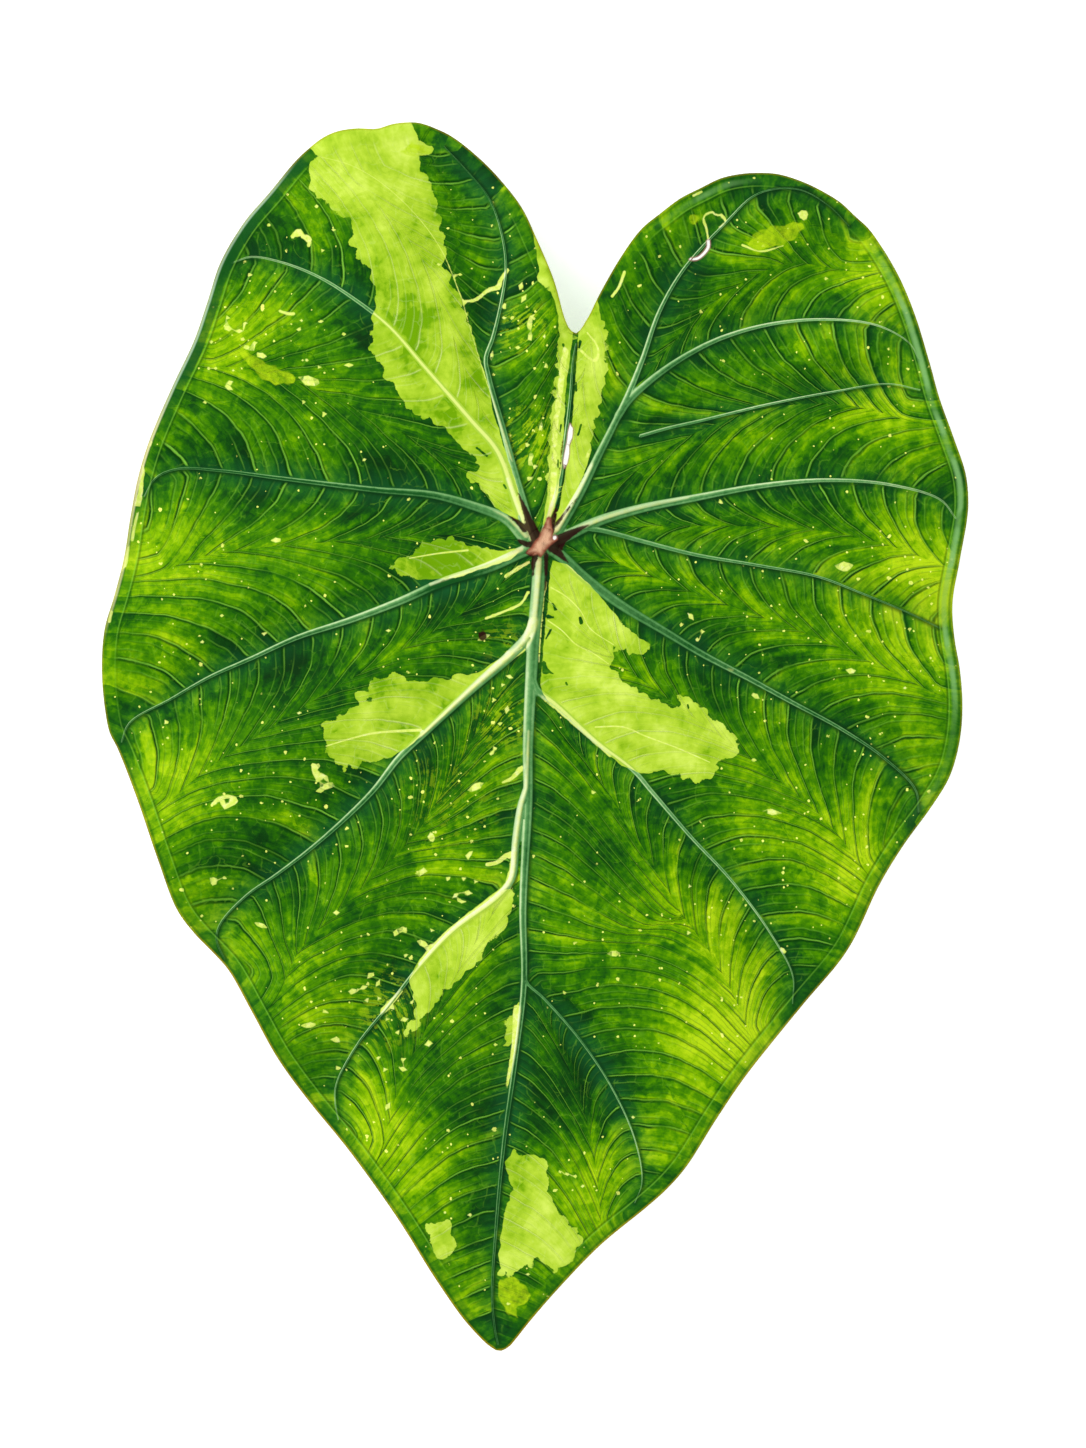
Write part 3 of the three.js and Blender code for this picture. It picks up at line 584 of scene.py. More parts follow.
def rib_field(p):
    """Of the nearest rib: distance, half width, share run off, and how far on its lit side p is."""
    distance, half, run, lit = (np.full(len(p), v) for v in (np.inf, 1.0, 0.0, 0.0))
    for rib in ribs.values():
        line = rib["line"]
        d, along = nearest(line, p)
        h = half_width(rib, along)
        closer = d / h < distance / half
        i = np.clip((along / RIB_STEP).astype(int), 0, len(line) - 2)
        foot = line[i] + (line[i + 1] - line[i]) * (along / RIB_STEP - i)[:, None]
        distance[closer], half[closer] = d[closer], h[closer]
        run[closer] = along[closer] / rib_length(rib)
        lit[closer] = ((p - foot) @ TO_WINDOW)[closer]
    return distance, half, run, lit


midrib_ends = np.array([0.0, rib_length(ribs["midrib"])])
print("half width of the midrib at root and end:", half_width(ribs["midrib"], midrib_ends).round(2), "mm")

# %% Lines that the triangles must follow
CROWN_RADIUS, CROWN_SIDES = 4.0, 60  # the blade's hole, which the crown of the stalk fills
points, edges = [], []


def add_line(line, closed=False):
    """Adds a line's points to the net, and its steps as fixed edges."""
    first = sum(len(p) for p in points)
    points.append(line)
    last = first + len(line) - 1
    edges.extend((i, i + 1) for i in range(first, last))
    if closed:
        edges.append((last, first))


turns = 2 * np.pi * np.arange(CROWN_SIDES) / CROWN_SIDES
add_line(outline, closed=True)
add_line(CROWN_RADIUS * np.column_stack([np.cos(turns), np.sin(turns)]), closed=True)
for name, rib in ribs.items():
    add_line(rib["line"])
    if name != "sinus":
        add_line(resample(np.vstack([rib["line"][-1], outline[rib["edge"]]]), RIB_STEP))
print(len(edges), "fixed edges")

# %% Rows beside the ribs and round the marks
RIB_ROWS = (0.4, 0.8, 1.2, 1.7)  # distance from a rib's middle, in half widths of its upper side
ROW_SHARE = 0.93  # a row stops where another rib is nearer than this share of its distance
PANEL_STEP = 1.28
for rib in ribs.values():
    line = rib["line"]
    along = np.gradient(line, axis=0)
    across = np.column_stack([-along[:, 1], along[:, 0]]) / np.linalg.norm(along, axis=1)[:, None]
    half = half_width(rib, RIB_STEP * np.arange(len(line)))
    for row in RIB_ROWS:
        for side in (-1, 1):
            flank = line + side * row * half[:, None] * across
            distance, near_half = rib_field(flank)[:2]
            points.append(flank[distance / near_half > ROW_SHARE * row])
for shape in (*PATCHES_PX.values(), *flecks_and_glints_px, *SCARS_AND_GLINT_PX.values(), *ISLANDS_PX):
    if isinstance(shape, tuple):
        points.append(smooth_line(plan(shape[2]), STREAK_STEP))
    else:
        ring = plan(shape)
        points.append(resample(np.vstack([ring, ring[:1]]), min(PANEL_STEP, np.ptp(ring) / 4))[:-1])
        points.append(ring.mean(axis=0, keepdims=True))
print(sum(len(p) for p in points), "points on lines")

# %% An even scatter in the panels
SCATTER_X, SCATTER_Y = (-130, 130), (-230, 130)  # mm from the knot, past the outline on all sides
RIB_CLEAR, OUTLINE_CLEAR = 0.45 * PANEL_STEP, 0.6 * PANEL_STEP
PATCH_CLEAR, FLECK_CLEAR = 0.5 * PANEL_STEP, 0.3 * PANEL_STEP
JITTER = 0.12
outline_ring = np.vstack([outline, outline[:1]])
rows = np.arange(*SCATTER_Y, PANEL_STEP * math.sqrt(0.75))
columns = np.arange(*SCATTER_X, PANEL_STEP)
grid = np.array([(x + (i % 2) * PANEL_STEP / 2, y) for i, y in enumerate(rows) for x in columns])
grid = grid[inside(outline, grid)]
distance, half = rib_field(grid)[:2]
grid = grid[distance > RIB_ROWS[-1] * half + RIB_CLEAR]
grid = grid[nearest(outline_ring, grid)[0] > OUTLINE_CLEAR]
grid = grid[np.abs(marks_at(grid, PATCHES_PX.values())) > PATCH_CLEAR]
grid = grid[marks_at(grid, [*flecks_and_glints_px, *SCARS_AND_GLINT_PX.values(), *ISLANDS_PX]) > FLECK_CLEAR]
points.append(grid + rng.uniform(-JITTER, JITTER, grid.shape))
print(len(grid), "points in the panels")

# %% Triangles of the flat sheet
EDGE_CLEAR, CROWN_CLEAR = 0.4 * PANEL_STEP, 0.25
MERGE = 1e-4
flat = np.vstack(points)
fixed = np.zeros(len(flat), bool)
fixed[list({i for edge in edges for i in edge})] = True
in_blade = inside(outline, flat) & (nearest(outline_ring, flat)[0] > EDGE_CLEAR)
keep = fixed | (in_blade & (np.abs(np.linalg.norm(flat, axis=1) - CROWN_RADIUS) > CROWN_CLEAR))
renumber = np.cumsum(keep) - 1
edges = [(int(renumber[a]), int(renumber[b])) for a, b in edges]
net = delaunay_2d_cdt([Vector(p) for p in flat[keep]], edges, [], 1, MERGE)
sheet = np.array([tuple(point) for point in net[0]])
triangles = np.array(net[2])
print(len(sheet), "points and", len(triangles), "triangles in the flat sheet")

# %% [markdown]
# ## Height of the blade
# The CAD model and this surface share one set of formulas: a low dome over the knot, a margin that
# waves between set heights, panels that bulge between the ribs, and ribs that stand proud. Here the
# ribs are rounder, and the panels are quilted between the side veins.

# %% Heights along the margin
KNOT_HEIGHT = 20.0
REST = -1.2  # the margin would be a little under the surface where the leaf rests
RIM = np.array([
    (10, 104, 15), (20, 104, 15), (30, 108, 9), (45, 111, REST), (54, 112, 9), (63, 106, 4),
    (75, 105, 12.5), (86, 107, 4.5), (94, 103, 10.5), (101, 105, 5), (112, 112, 12.5),
    (124, 117, 3.5), (138, 121, 13), (151, 134, 3), (161, 147, 11), (171, 168, 6), (177, 182, 4),
    (183, 202, REST), (189, 185, 5.5), (200, 155, 3.5), (208, 142, 12), (218, 131, 3), (231, 124, 13),
    (244, 118, 3), (260, 111, 12), (277, 102, 3.5), (293, 101, 11), (312, 107, REST), (322, 112, 6),
    (333, 115, 12), (346, 107, 4.5), (354, 98, 11), (362, 98, 15), (370, 104, 15),
])


def fade(x, low, high):
    """0 below low, 1 above high and a smooth step between."""
    t = np.clip((x - low) / (high - low), 0, 1)
    return t * t * (3 - 2 * t)


def rim_at(bearing):
    """Reach and margin height at a bearing, eased between the entries of RIM."""
    b = np.where(bearing < RIM[0, 0], bearing + 360, bearing)
    i = np.clip(np.searchsorted(RIM[:, 0], b, side="right"), 1, len(RIM) - 1)
    t = fade(b, RIM[i - 1, 0], RIM[i, 0])[:, None]
    return (RIM[i - 1, 1:] * (1 - t) + RIM[i, 1:] * t).T


print("margin between", RIM[:, 2].min(), "and", RIM[:, 2].max(), "mm high")

# %% Side veins
VEIN_LEAN, VEIN_CURL = 0.36, 0.75  # how far a side vein runs outwards as it leaves its rib
PANEL_SHIFT, SIDE_SHIFT = 0.37, 0.45  # so that veins don't meet across a rib or a meeting line


def vein_phase(p, panel):
    """For points in their panels: side vein number from either rib, and how far past the meeting line."""
    phase_a, phase_b, side = np.zeros(len(p)), np.zeros(len(p)), np.zeros(len(p))
    for i, (first, second, split, spacing) in enumerate(PANELS):
        here = panel == i
        if not here.any():
            continue
        (da, sa), (db, sb) = nearest(flow[first], p[here]), nearest(flow[second], p[here])
        width = np.maximum(da + db, 0.5)
        lean_a = da * (VEIN_LEAN + VEIN_CURL * (da / width / split) ** 2)
        lean_b = db * (VEIN_LEAN + VEIN_CURL * (db / width / (1 - split)) ** 2)
        offset = PANEL_SHIFT * i
        phase_a[here] = (sa - lean_a) / spacing + offset
        phase_b[here] = (sb - lean_b) / spacing + offset + SIDE_SHIFT
        side[here] = (da / split - db / (1 - split)) / 2
    return phase_a, phase_b, side


def surface_fields(p):
    """Every distance and phase that the heights and the material need, at plan points p."""
    f = SimpleNamespace()
    f.rib, f.half, f.run, f.lit = rib_field(p)
    f.margin = nearest(np.vstack([outline[::2], outline[:1]]), p)[0]
    reach, f.rim = rim_at(np.degrees(np.arctan2(p[:, 0], p[:, 1])) % 360)
    f.knot = np.linalg.norm(p, axis=1)
    f.out = f.knot / reach
    f.phase_a, f.phase_b, f.side = vein_phase(p, panel_of(p))
    return f


fields = surface_fields(sheet)
print("side veins numbered from", round(fields.phase_a.min()), "to", round(fields.phase_a.max()))

# %% Heights of the two faces
BLADE_THICKNESS = 0.7
WAVE_START, WAVE_POWER = 0.15, 1.8  # where the dome begins to give way to the margin's waves
PANEL_RISE, PANEL_RISE_REACH = 2.4, 7.0
BULGE_START, BULGE_END = (0.06, 0.3), (0.8, 1)  # shares of the way from the knot to the margin
MARGIN_DROP, MARGIN_BAND = 1.0, 5.0
VEIN_INSET, VEIN_HALF, VEIN_RISE = 3.2, 1.6, 0.3  # the vein that runs inside the margin
RIB_RISE, RIB_DEPTH, RIB_FADE = 0.5, 1.15, 0.9
KEEL_ROUND = 0.8
RIB_EDGE, GUTTER_AT, GUTTER_WIDTH, GUTTER_DEPTH = 0.95, 1.3, 0.35, 0.1  # in half widths
ROOT_FADE = (6.0, 14.0)
QUILT, QUILT_FULLNESS = 0.34, 0.75  # mm that a panel swells between two side veins
QUILT_BELOW = 0.6  # share of it that shows on the lower face
RIB_CALM, MARGIN_CALM, MEETING_CALM, KNOT_CALM = (1.5, 6), (2, 9), (0, 3.5), (0.1, 0.3)


def faces_at(f):
    """Height of the upper and lower face in mm above the surface that the leaf lies on."""
    fall = np.clip((f.out - WAVE_START) / (1 - WAVE_START), 0, None) ** WAVE_POWER
    level = KNOT_HEIGHT + (f.rim - KNOT_HEIGHT) * fall
    in_panel = 1 - np.exp(-((f.rib / PANEL_RISE_REACH) ** 2))
    level += PANEL_RISE * in_panel * fade(f.out, *BULGE_START) * (1 - 0.5 * fade(f.out, *BULGE_END))
    level -= MARGIN_DROP * np.clip(1 - f.margin / MARGIN_BAND, 0, 1) ** 2
    u = f.rib / f.half
    alive = 1 - fade(f.run, RIB_FADE, 1)
    rise = RIB_RISE * f.half * np.clip(1 - (u / RIB_EDGE) ** 2, 0, 1) * alive
    rise -= GUTTER_DEPTH * f.half * np.exp(-(((u - GUTTER_AT) / GUTTER_WIDTH) ** 2)) * alive
    keel = f.half / upper_share(f.run)
    depth = RIB_DEPTH * keel * np.clip(1 - (f.rib / keel) ** 2, 0, 1) ** KEEL_ROUND * alive
    depth *= fade(f.knot, *ROOT_FADE)
    vein = VEIN_RISE * (1 - fade(np.abs(f.margin - VEIN_INSET), 0, VEIN_HALF))
    phase = np.where(f.side < 0, f.phase_a, f.phase_b)
    swell = np.abs(np.sin(np.pi * phase)) ** QUILT_FULLNESS
    clear = fade(f.rib, *RIB_CALM) * fade(f.margin, *MARGIN_CALM) * fade(np.abs(f.side), *MEETING_CALM)
    quilt = QUILT * swell * clear * fade(f.out, *KNOT_CALM)
    bottom = np.maximum(0, level + QUILT_BELOW * quilt - BLADE_THICKNESS - depth)
    return np.maximum(level + np.maximum(rise, vein) + quilt, bottom + BLADE_THICKNESS), bottom


top, bottom = faces_at(fields)
print("heights from", round(bottom.min(), 2), "to", round(top.max(), 2), "mm")

# %% [markdown]
# ## From flat sheet to blade
# No operator makes triangles that follow the ribs, so these go into a bmesh as they are, as one flat
# sheet. The solidify operator gives it a second face and a wall round the margin, and then both faces
# are lifted to their heights.

# %% Meshes from the sheet


def new_object(name, bm):
    """A bmesh as an object of the scene, at the origin."""
    mesh = bpy.data.meshes.new(name)
    bm.to_mesh(mesh)
    bm.free()
    made = bpy.data.objects.new(name, mesh)
    bpy.context.scene.collection.objects.link(made)
    return made


def flat_sheet(triangles):
    """Some of the net's triangles as a bmesh at height 0, face up. Layer "sheet" numbers the points."""
    bm = bmesh.new()
    number = bm.verts.layers.int.new("sheet")
    corners = {}
    for i in np.unique(triangles):
        corners[i] = bm.verts.new((sheet[i, 0] * MM, sheet[i, 1] * MM, 0))
        corners[i][number] = i
    for triangle in triangles:
        bm.faces.new([corners[i] for i in triangle])
    bmesh.ops.recalc_face_normals(bm, faces=bm.faces)
    if sum(face.normal.z for face in bm.faces) < 0:
        bmesh.ops.reverse_faces(bm, faces=bm.faces)
    return bm


def read(attributes, name, kind, width=1):
    """A mesh attribute or element value as a numpy array."""
    values = np.empty(len(attributes) * width, kind)
    attributes.foreach_get(name, values)
    return values.reshape(-1, width) if width > 1 else values


def settle(mesh, co):
    """Gives a mesh its points, which are measured from the knot, and a smooth surface."""
    co[:, :2] += knot * MM
    mesh.vertices.foreach_set("co", co.ravel())
    mesh.update()
    mesh.shade_smooth()


in_crown = np.linalg.norm(sheet[triangles].mean(axis=1), axis=1) < CROWN_RADIUS * 0.999
print(in_crown.sum(), "triangles lie in the crown and", (~in_crown).sum(), "in the blade")

# %% Solid blade
THIN = 0.001  # metres between the faces, until they are lifted to their heights
bm = flat_sheet(triangles[~in_crown])
bmesh.ops.solidify(bm, geom=bm.faces[:], thickness=THIN)
blade = new_object("blade", bm)
mesh = blade.data
co = read(mesh.vertices, "co", float, 3)
of_sheet = read(mesh.attributes["sheet"].data, "value", int)
upper = co[:, 2] > co[:, 2].mean()
co[:, 2] = np.where(upper, top[of_sheet], bottom[of_sheet]) * MM
settle(mesh, co)
print(len(co), "vertices,", upper.sum(), "of them above;", len(mesh.polygons), "faces")

# %% [markdown]
# ## What the material reads
# Distances and vein numbers are stored on the net as attributes, so that every line on the leaf
# follows its ribs in any view. The vein numbers jump from panel to panel, so they are kept on the
# corners of each triangle. The others are kept on the points. Broad bright and dark areas are sums of
# soft round spots: centre and radius in pixels of the photograph, and strength.

# %% Bright and dark areas
GLOW_PX = [  # yellow-green
    ((935, 590), 55, 1.2), ((905, 660), 60, 0.6), ((930, 520), 45, 0.45), ((850, 600), 60, 0.25),
    ((700, 1045), 62, 1.0), ((745, 985), 50, 0.8), ((715, 925), 35, 0.7), ((765, 1040), 40, 0.5),
    ((235, 350), 40, 0.45), ((215, 320), 45, 0.2), ((140, 560), 40, 0.75), ((870, 300), 45, 0.75),
    ((905, 395), 45, 0.9), ((230, 935), 50, 0.8), ((372, 1120), 42, 0.7), ((355, 1045), 45, 0.7),
    ((290, 990), 40, 0.4), ((165, 790), 55, 0.9), ((120, 690), 40, 0.15), ((860, 850), 60, 0.75),
    ((420, 1170), 55, 0.6), ((590, 1190), 45, 0.7), ((640, 1150), 40, 0.8), ((770, 800), 55, 0.4),
    ((690, 880), 40, 0.6), ((205, 440), 60, 0.2), ((450, 860), 45, 0.5), ((760, 230), 40, 0.25),
    ((528, 450), 30, 0.35), ((925, 760), 60, 0.3), ((180, 640), 45, 0.4), ((210, 730), 45, 0.35),
    ((700, 400), 45, 0.3), ((530, 770), 35, 0.5), ((880, 240), 40, 0.25), ((690, 200), 40, 0.2),
    ((480, 1280), 40, 0.5), ((640, 900), 50, 0.35), ((290, 555), 50, 0.6), ((200, 550), 50, 0.35),
    ((530, 870), 35, 0.5), ((540, 950), 45, 0.4), ((330, 860), 50, 0.45), ((620, 570), 35, 0.5),
    ((490, 1090), 45, 0.2), ((510, 230), 40, 0.3), ((610, 400), 40, 0.25), ((590, 370), 22, 0.5),
    ((590, 430), 22, 0.5), ((775, 560), 40, 0.35), ((610, 480), 35, 0.25), ((530, 400), 30, 0.4),
    ((290, 320), 40, 0.3), ((540, 1190), 40, 0.15), ((860, 400), 35, 0.25),
]
SHADE_PX = [  # deep blue-green, also darker parts of the lime
    ((600, 850), 45, 0.6), ((570, 1070), 55, 0.8), ((545, 1130), 45, 0.4), ((640, 450), 50, 0.05),
    ((345, 270), 40, 0.6), ((400, 470), 60, 0.55), ((700, 620), 50, 0.4), ((470, 600), 45, 0.6),
    ((370, 860), 60, 0.3), ((350, 960), 45, 0.2), ((430, 1060), 45, 0.2), ((370, 800), 60, 0.3),
    ((620, 1110), 45, 0.25), ((470, 1120), 55, 0.85), ((460, 200), 45, 0.4), ((250, 500), 60, 0.5),
    ((240, 680), 60, 0.5), ((680, 300), 50, 0.3), ((620, 990), 50, 0.4), ((860, 770), 40, 0.3),
    ((250, 800), 60, 0.65), ((420, 700), 40, 0.4), ((300, 580), 50, 0.3), ((330, 710), 45, 0.5),
    ((210, 880), 45, 0.4), ((590, 300), 40, 0.3), ((400, 960), 40, 0.2), ((290, 410), 45, 0.4),
    ((410, 320), 55, 0.6), ((450, 400), 45, 0.7), ((440, 560), 36, 1.3), ((450, 785), 40, 0.65),
    ((370, 540), 35, 0.3), ((730, 440), 40, 0.2), ((290, 480), 50, 0.4), ((495, 320), 26, 0.5),
    ((505, 255), 26, 0.5), ((500, 400), 22, 0.2), ((490, 190), 30, 0.4), ((770, 640), 45, 0.3),
    ((370, 640), 40, 0.25), ((450, 240), 40, 0.3), ((290, 840), 45, 0.25), ((775, 885), 40, 0.3),
]
SPECKLE_PX = [  # where small cream speckles are dense
    ((525, 330), 34, 1.3), ((528, 440), 36, 1.6), ((505, 640), 30, 0.8), ((505, 715), 35, 1.0),
    ((450, 800), 75, 0.8), ((385, 1010), 55, 1.0), ((780, 830), 60, 0.5), ((560, 1180), 35, 0.5),
    ((770, 250), 60, 0.35), ((250, 340), 50, 0.4), ((820, 560), 80, 0.35), ((480, 1130), 45, 0.4),
    ((650, 900), 80, 0.35), ((250, 860), 60, 0.3), ((430, 520), 50, 0.3), ((880, 650), 45, 0.4),
]


def spots_at(p, spots):
    """Sum of soft round spots, 0 to about 1."""
    total = np.zeros(len(p))
    for centre, radius, strength in spots:
        distance = np.linalg.norm(p - plan([centre]), axis=1) / (radius * MM_PER_PX)
        total += strength * np.exp(-(distance**2))
    return total


print(len(GLOW_PX), "bright spots and", len(SHADE_PX), "dark ones")

# %% Stretches of the margin, and the knot
PALE_EDGE_PX = [((970, 480), 110, 1.0), ((930, 330), 110, 0.9), ((960, 640), 80, 0.8),
                ((140, 440), 110, 0.9), ((200, 300), 90, 0.8), ((115, 600), 60, 0.5),
                ((700, 190), 80, 0.6), ((930, 800), 90, 0.4), ((255, 190), 60, 0.7)]
FOLD_EDGE_PX = [((275, 170), 40, 1.0), ((235, 215), 45, 1.0), ((200, 275), 50, 1.0), ((180, 335), 45, 0.9),
                ((155, 400), 40, 0.5)]
BROWN_EDGE_PX = [((325, 1125), 60, 1.0), ((500, 1350), 50, 0.9), ((240, 990), 90, 0.9),
                 ((420, 1260), 90, 0.8), ((620, 1235), 100, 0.8), ((760, 1060), 110, 0.7),
                 ((140, 800), 110, 0.6), ((880, 890), 90, 0.5), ((540, 240), 60, 0.4)]
KNOT_SHAPES_PX = {  # the brown knot where all the ribs meet
    "body": (1.6, 1.9, [(547, 533), (545, 541), (540, 547)]),
    "foot": (1.8, 0.8, [(540, 547), (535, 551), (529, 553)]),
    "arm_up": (0.7, 1.3, [(549, 520), (547, 533)]),
    "arm_right": (1.4, 0.5, [(548, 542), (556, 540)]),
    "arm_down": (1.2, 0.5, [(542, 548), (541, 557)]),
}
sheet_values = {
    "lines": [fields.rib, fields.half, fields.margin],
    "marks": [marks_at(sheet, PATCHES_PX.values()), marks_at(sheet, [*CREAM_AND_HIGHLIGHT_PX.values(), *flecks_and_glints_px]),
              marks_at(sheet, SOFT_PX.values())],
    "tints": [spots_at(sheet, GLOW_PX), spots_at(sheet, SHADE_PX), marks_at(sheet, WINE_PX.values())],
    "knot": [marks_at(sheet, KNOT_SHAPES_PX.values()), spots_at(sheet, SPECKLE_PX), fields.lit],
    "scar": [marks_at(sheet, SCARS_AND_GLINT_PX.values()), marks_at(sheet, ISLANDS_PX), spots_at(sheet, FOLD_EDGE_PX)],
    "edging": [spots_at(sheet, PALE_EDGE_PX), spots_at(sheet, BROWN_EDGE_PX), fields.run],
}
print("values at each point of the sheet:", ", ".join(sheet_values))

# %% Attributes


def store_fields(mesh, of_sheet, on_sheet):
    """Puts the sheet's values on the points of a mesh, and the vein numbers on its corners."""
    for name, columns in sheet_values.items():
        layer = mesh.attributes.new(name, "FLOAT_VECTOR", "POINT")
        values = np.column_stack(columns)[of_sheet] * on_sheet[:, None]
        layer.data.foreach_set("vector", values.astype(np.float32).ravel())
    vertex = read(mesh.loops, "vertex_index", int)
    sizes = read(mesh.polygons, "loop_total", int)
    starts = np.r_[0, np.cumsum(sizes)[:-1]]
    corner_xy = sheet[of_sheet[vertex]]
    centres = np.add.reduceat(corner_xy, starts, axis=0) / sizes[:, None]
    layer = mesh.attributes.new("veins", "FLOAT_VECTOR", "CORNER")
    values = np.column_stack(vein_phase(corner_xy, np.repeat(panel_of(centres), sizes)))
    layer.data.foreach_set("vector", values.astype(np.float32).ravel())
    return vertex, starts


vertex, starts = store_fields(mesh, of_sheet, np.ones(len(of_sheet), bool))
above = np.minimum.reduceat(upper[vertex].astype(int), starts) > 0
below = np.maximum.reduceat(upper[vertex].astype(int), starts) < 1
mesh.polygons.foreach_set("material_index", below.astype(np.int32))
print("faces above", above.sum(), "below", below.sum(), "round the margin", (~above & ~below).sum())

# %% [markdown]
# ## Materials
# Blender's node trees are long to write out, so one small class wraps a socket and lets a material be
# written as sums. Every colour is given as it looks in the photograph.

# %% Shader signals


class Signal:
    """A number, vector or colour that a material works out at each point."""

    tree = None

    def __init__(self, socket):
        self.socket = socket

    @classmethod
    def node(cls, kind, inputs, output=0, **settings):
        """Any shader node: inputs by name or number, and the output that is wanted."""
        made = cls.tree.nodes.new("ShaderNode" + kind)
        for name, value in settings.items():
            setattr(made, name, value)
        for key, value in inputs.items():
            if isinstance(value, Signal):
                cls.tree.links.new(value.socket, made.inputs[key])
            else:
                made.inputs[key].default_value = value
        return cls(made.outputs[output])

    @classmethod
    def math(cls, operation, *values):
        return cls.node("Math", dict(enumerate(values)), operation=operation)

    def __add__(self, other):
        return self.math("ADD", self, other)

    def __radd__(self, other):
        return self.math("ADD", other, self)

    def __sub__(self, other):
        return self.math("SUBTRACT", self, other)

    def __rsub__(self, other):
        return self.math("SUBTRACT", other, self)

    def __mul__(self, other):
        return self.math("MULTIPLY", self, other)

    def __rmul__(self, other):
        return self.math("MULTIPLY", other, self)

    def __truediv__(self, other):
        return self.math("DIVIDE", self, other)

    def __rtruediv__(self, other):
        return self.math("DIVIDE", other, self)

    def __abs__(self):
        return self.math("ABSOLUTE", self)

    def ramp(self, low, high):
        """0 at low, 1 at high, smooth between. High may be the smaller of the two."""
        ends = {"Value": self, "From Min": low, "From Max": high}
        return self.node("MapRange", ends, interpolation_type="SMOOTHSTEP")

    def parts(self):
        """The three numbers of a vector."""
        made = self.node("SeparateXYZ", {0: self}).socket.node
        return [Signal(socket) for socket in made.outputs]


# %% Places and textures


def attribute(name):
    """The three numbers that the net stores under a name."""
    return Signal.node("Attribute", {}, output="Vector", attribute_name=name).parts()


def vector(x, y, z=0.0):
    return Signal.node("CombineXYZ", {0: x, 1: y, 2: z})


def place_in_mm():
    """Where a point of the piece is, in mm."""
    place = Signal.node("TexCoord", {}, output="Object")
    return Signal.node("VectorMath", {0: place, 3: 1 / MM}, operation="SCALE")


def noise(place, size, detail=2.0, roughness=0.5, dimensions="2D"):
    """Soft noise from 0 to 1, with lumps of about the given size."""
    inputs = {"Vector": place, "Scale": 1 / size, "Detail": detail, "Roughness": roughness}
    return Signal.node("TexNoise", inputs, noise_dimensions=dimensions)


def voronoi(place, size, feature="F1", dimensions="2D"):
    """Cells of about the given size: the distance from a cell's point or edge."""
    inputs = {"Vector": place, "Scale": 1 / size}
    return Signal.node("TexVoronoi", inputs, "Distance", feature=feature, voronoi_dimensions=dimensions)


def cell_numbers(cells):
    """Three random numbers, 0 to 1, that are the same all over a cell."""
    return Signal(cells.socket.node.outputs["Color"]).parts()


def chances(x, y):
    """Three random numbers for each pair of whole numbers."""
    inputs = {"Vector": vector(x, y)}
    return Signal.node("TexWhiteNoise", inputs, "Color", noise_dimensions="2D").parts()


# %% Colours and shaders


def blend(under, over, share):
    """One colour over another."""
    return Signal.node("Mix", {0: share, 6: under, 7: over}, output=2, data_type="RGBA")


def colour(red, green, blue):
    """A colour as seen, 0 to 255 in each part, in the linear numbers that a material takes."""
    parts = [v / 255 for v in (red, green, blue)]
    return (*(v / 12.92 if v <= 0.04045 else ((v + 0.055) / 1.055) ** 2.4 for v in parts), 1.0)


def scale_of(value, stops):
    """A colour scale: value picks between the stops, each (position, colour)."""
    made = Signal.node("ValToRGB", {0: value})
    elements = made.socket.node.color_ramp.elements
    while len(elements) < len(stops):
        elements.new(0.5)
    for element, (position, shade) in zip(elements, stops):
        element.position = position
        element.color = shade
    return made


def new_material(name):
    """An empty material with its shader, ready for signals."""
    made = bpy.data.materials.new(name)
    made.use_nodes = True
    made.node_tree.nodes.clear()
    Signal.tree = made.node_tree
    shader = made.node_tree.nodes.new("ShaderNodeBsdfPrincipled")
    output = made.node_tree.nodes.new("ShaderNodeOutputMaterial")
    made.node_tree.links.new(shader.outputs[0], output.inputs[0])
    return made, shader


def connect(shader, **signals):
    """Links signals to the shader's sockets. Names have _ for a space."""
    for name, value in signals.items():
        socket = shader.inputs[name.replace("_", " ")]
        if isinstance(value, Signal):
            Signal.tree.links.new(value.socket, socket)
        else:
            socket.default_value = value


def bump(height):
    """A normal from a height in mm."""
    return Signal.node("Bump", {"Height": height, "Strength": 1.0, "Distance": MM}, output="Normal")


print("a leaf green of 76, 138, 0 in linear numbers:", [round(v, 3) for v in colour(76, 138, 0)[:3]])

# %% [markdown]
# ## The skin of the leaf
# Both faces share one recipe with their own colours. It is built up in layers, as a painter would: the
# green, the side veins, speckles, lime patches, ribs, cream streaks, the knot and last the margin.
# Several layers read the same distances and noises, so these are made once and kept together.

# %% What every layer reads


def leaf_signals():
    """What the net stores, and noises: crumb, lumps and stir are small, cloud is broad."""
    leaf = SimpleNamespace(place=place_in_mm())
    leaf.rib, leaf.half, leaf.margin = attribute("lines")
    leaf.patch, leaf.cream, leaf.soft = attribute("marks")
    leaf.glow, leaf.shade, leaf.wine = attribute("tints")
    leaf.knot, leaf.speckled, leaf.lit = attribute("knot")
    leaf.pale_edge, leaf.brown_edge, leaf.run = attribute("edging")
    leaf.scar, leaf.island, leaf.fold = attribute("scar")
    leaf.clear = leaf.rib - leaf.half
    leaf.middle = leaf.clear.ramp(0.3, 15)
    leaf.crumb = noise(leaf.place, 1.3, 3, 0.6)
    leaf.stir = noise(leaf.place, 3, 3)
    leaf.lumps = noise(leaf.place, 2.7, 4, 0.7)
    leaf.cloud = noise(leaf.place, 24, 4, 0.55)
    return leaf


# %% [markdown]
# Strong side veins lie at whole numbers of the phase and fine ones at thirds. The greens come from one
# number, the tone: low beside the ribs, higher in the middle of each panel, raised by the bright areas
# and by streaks that run along the side veins.

# %% Side veins and the green between them
SHADED_GREEN = colour(24, 92, 44)


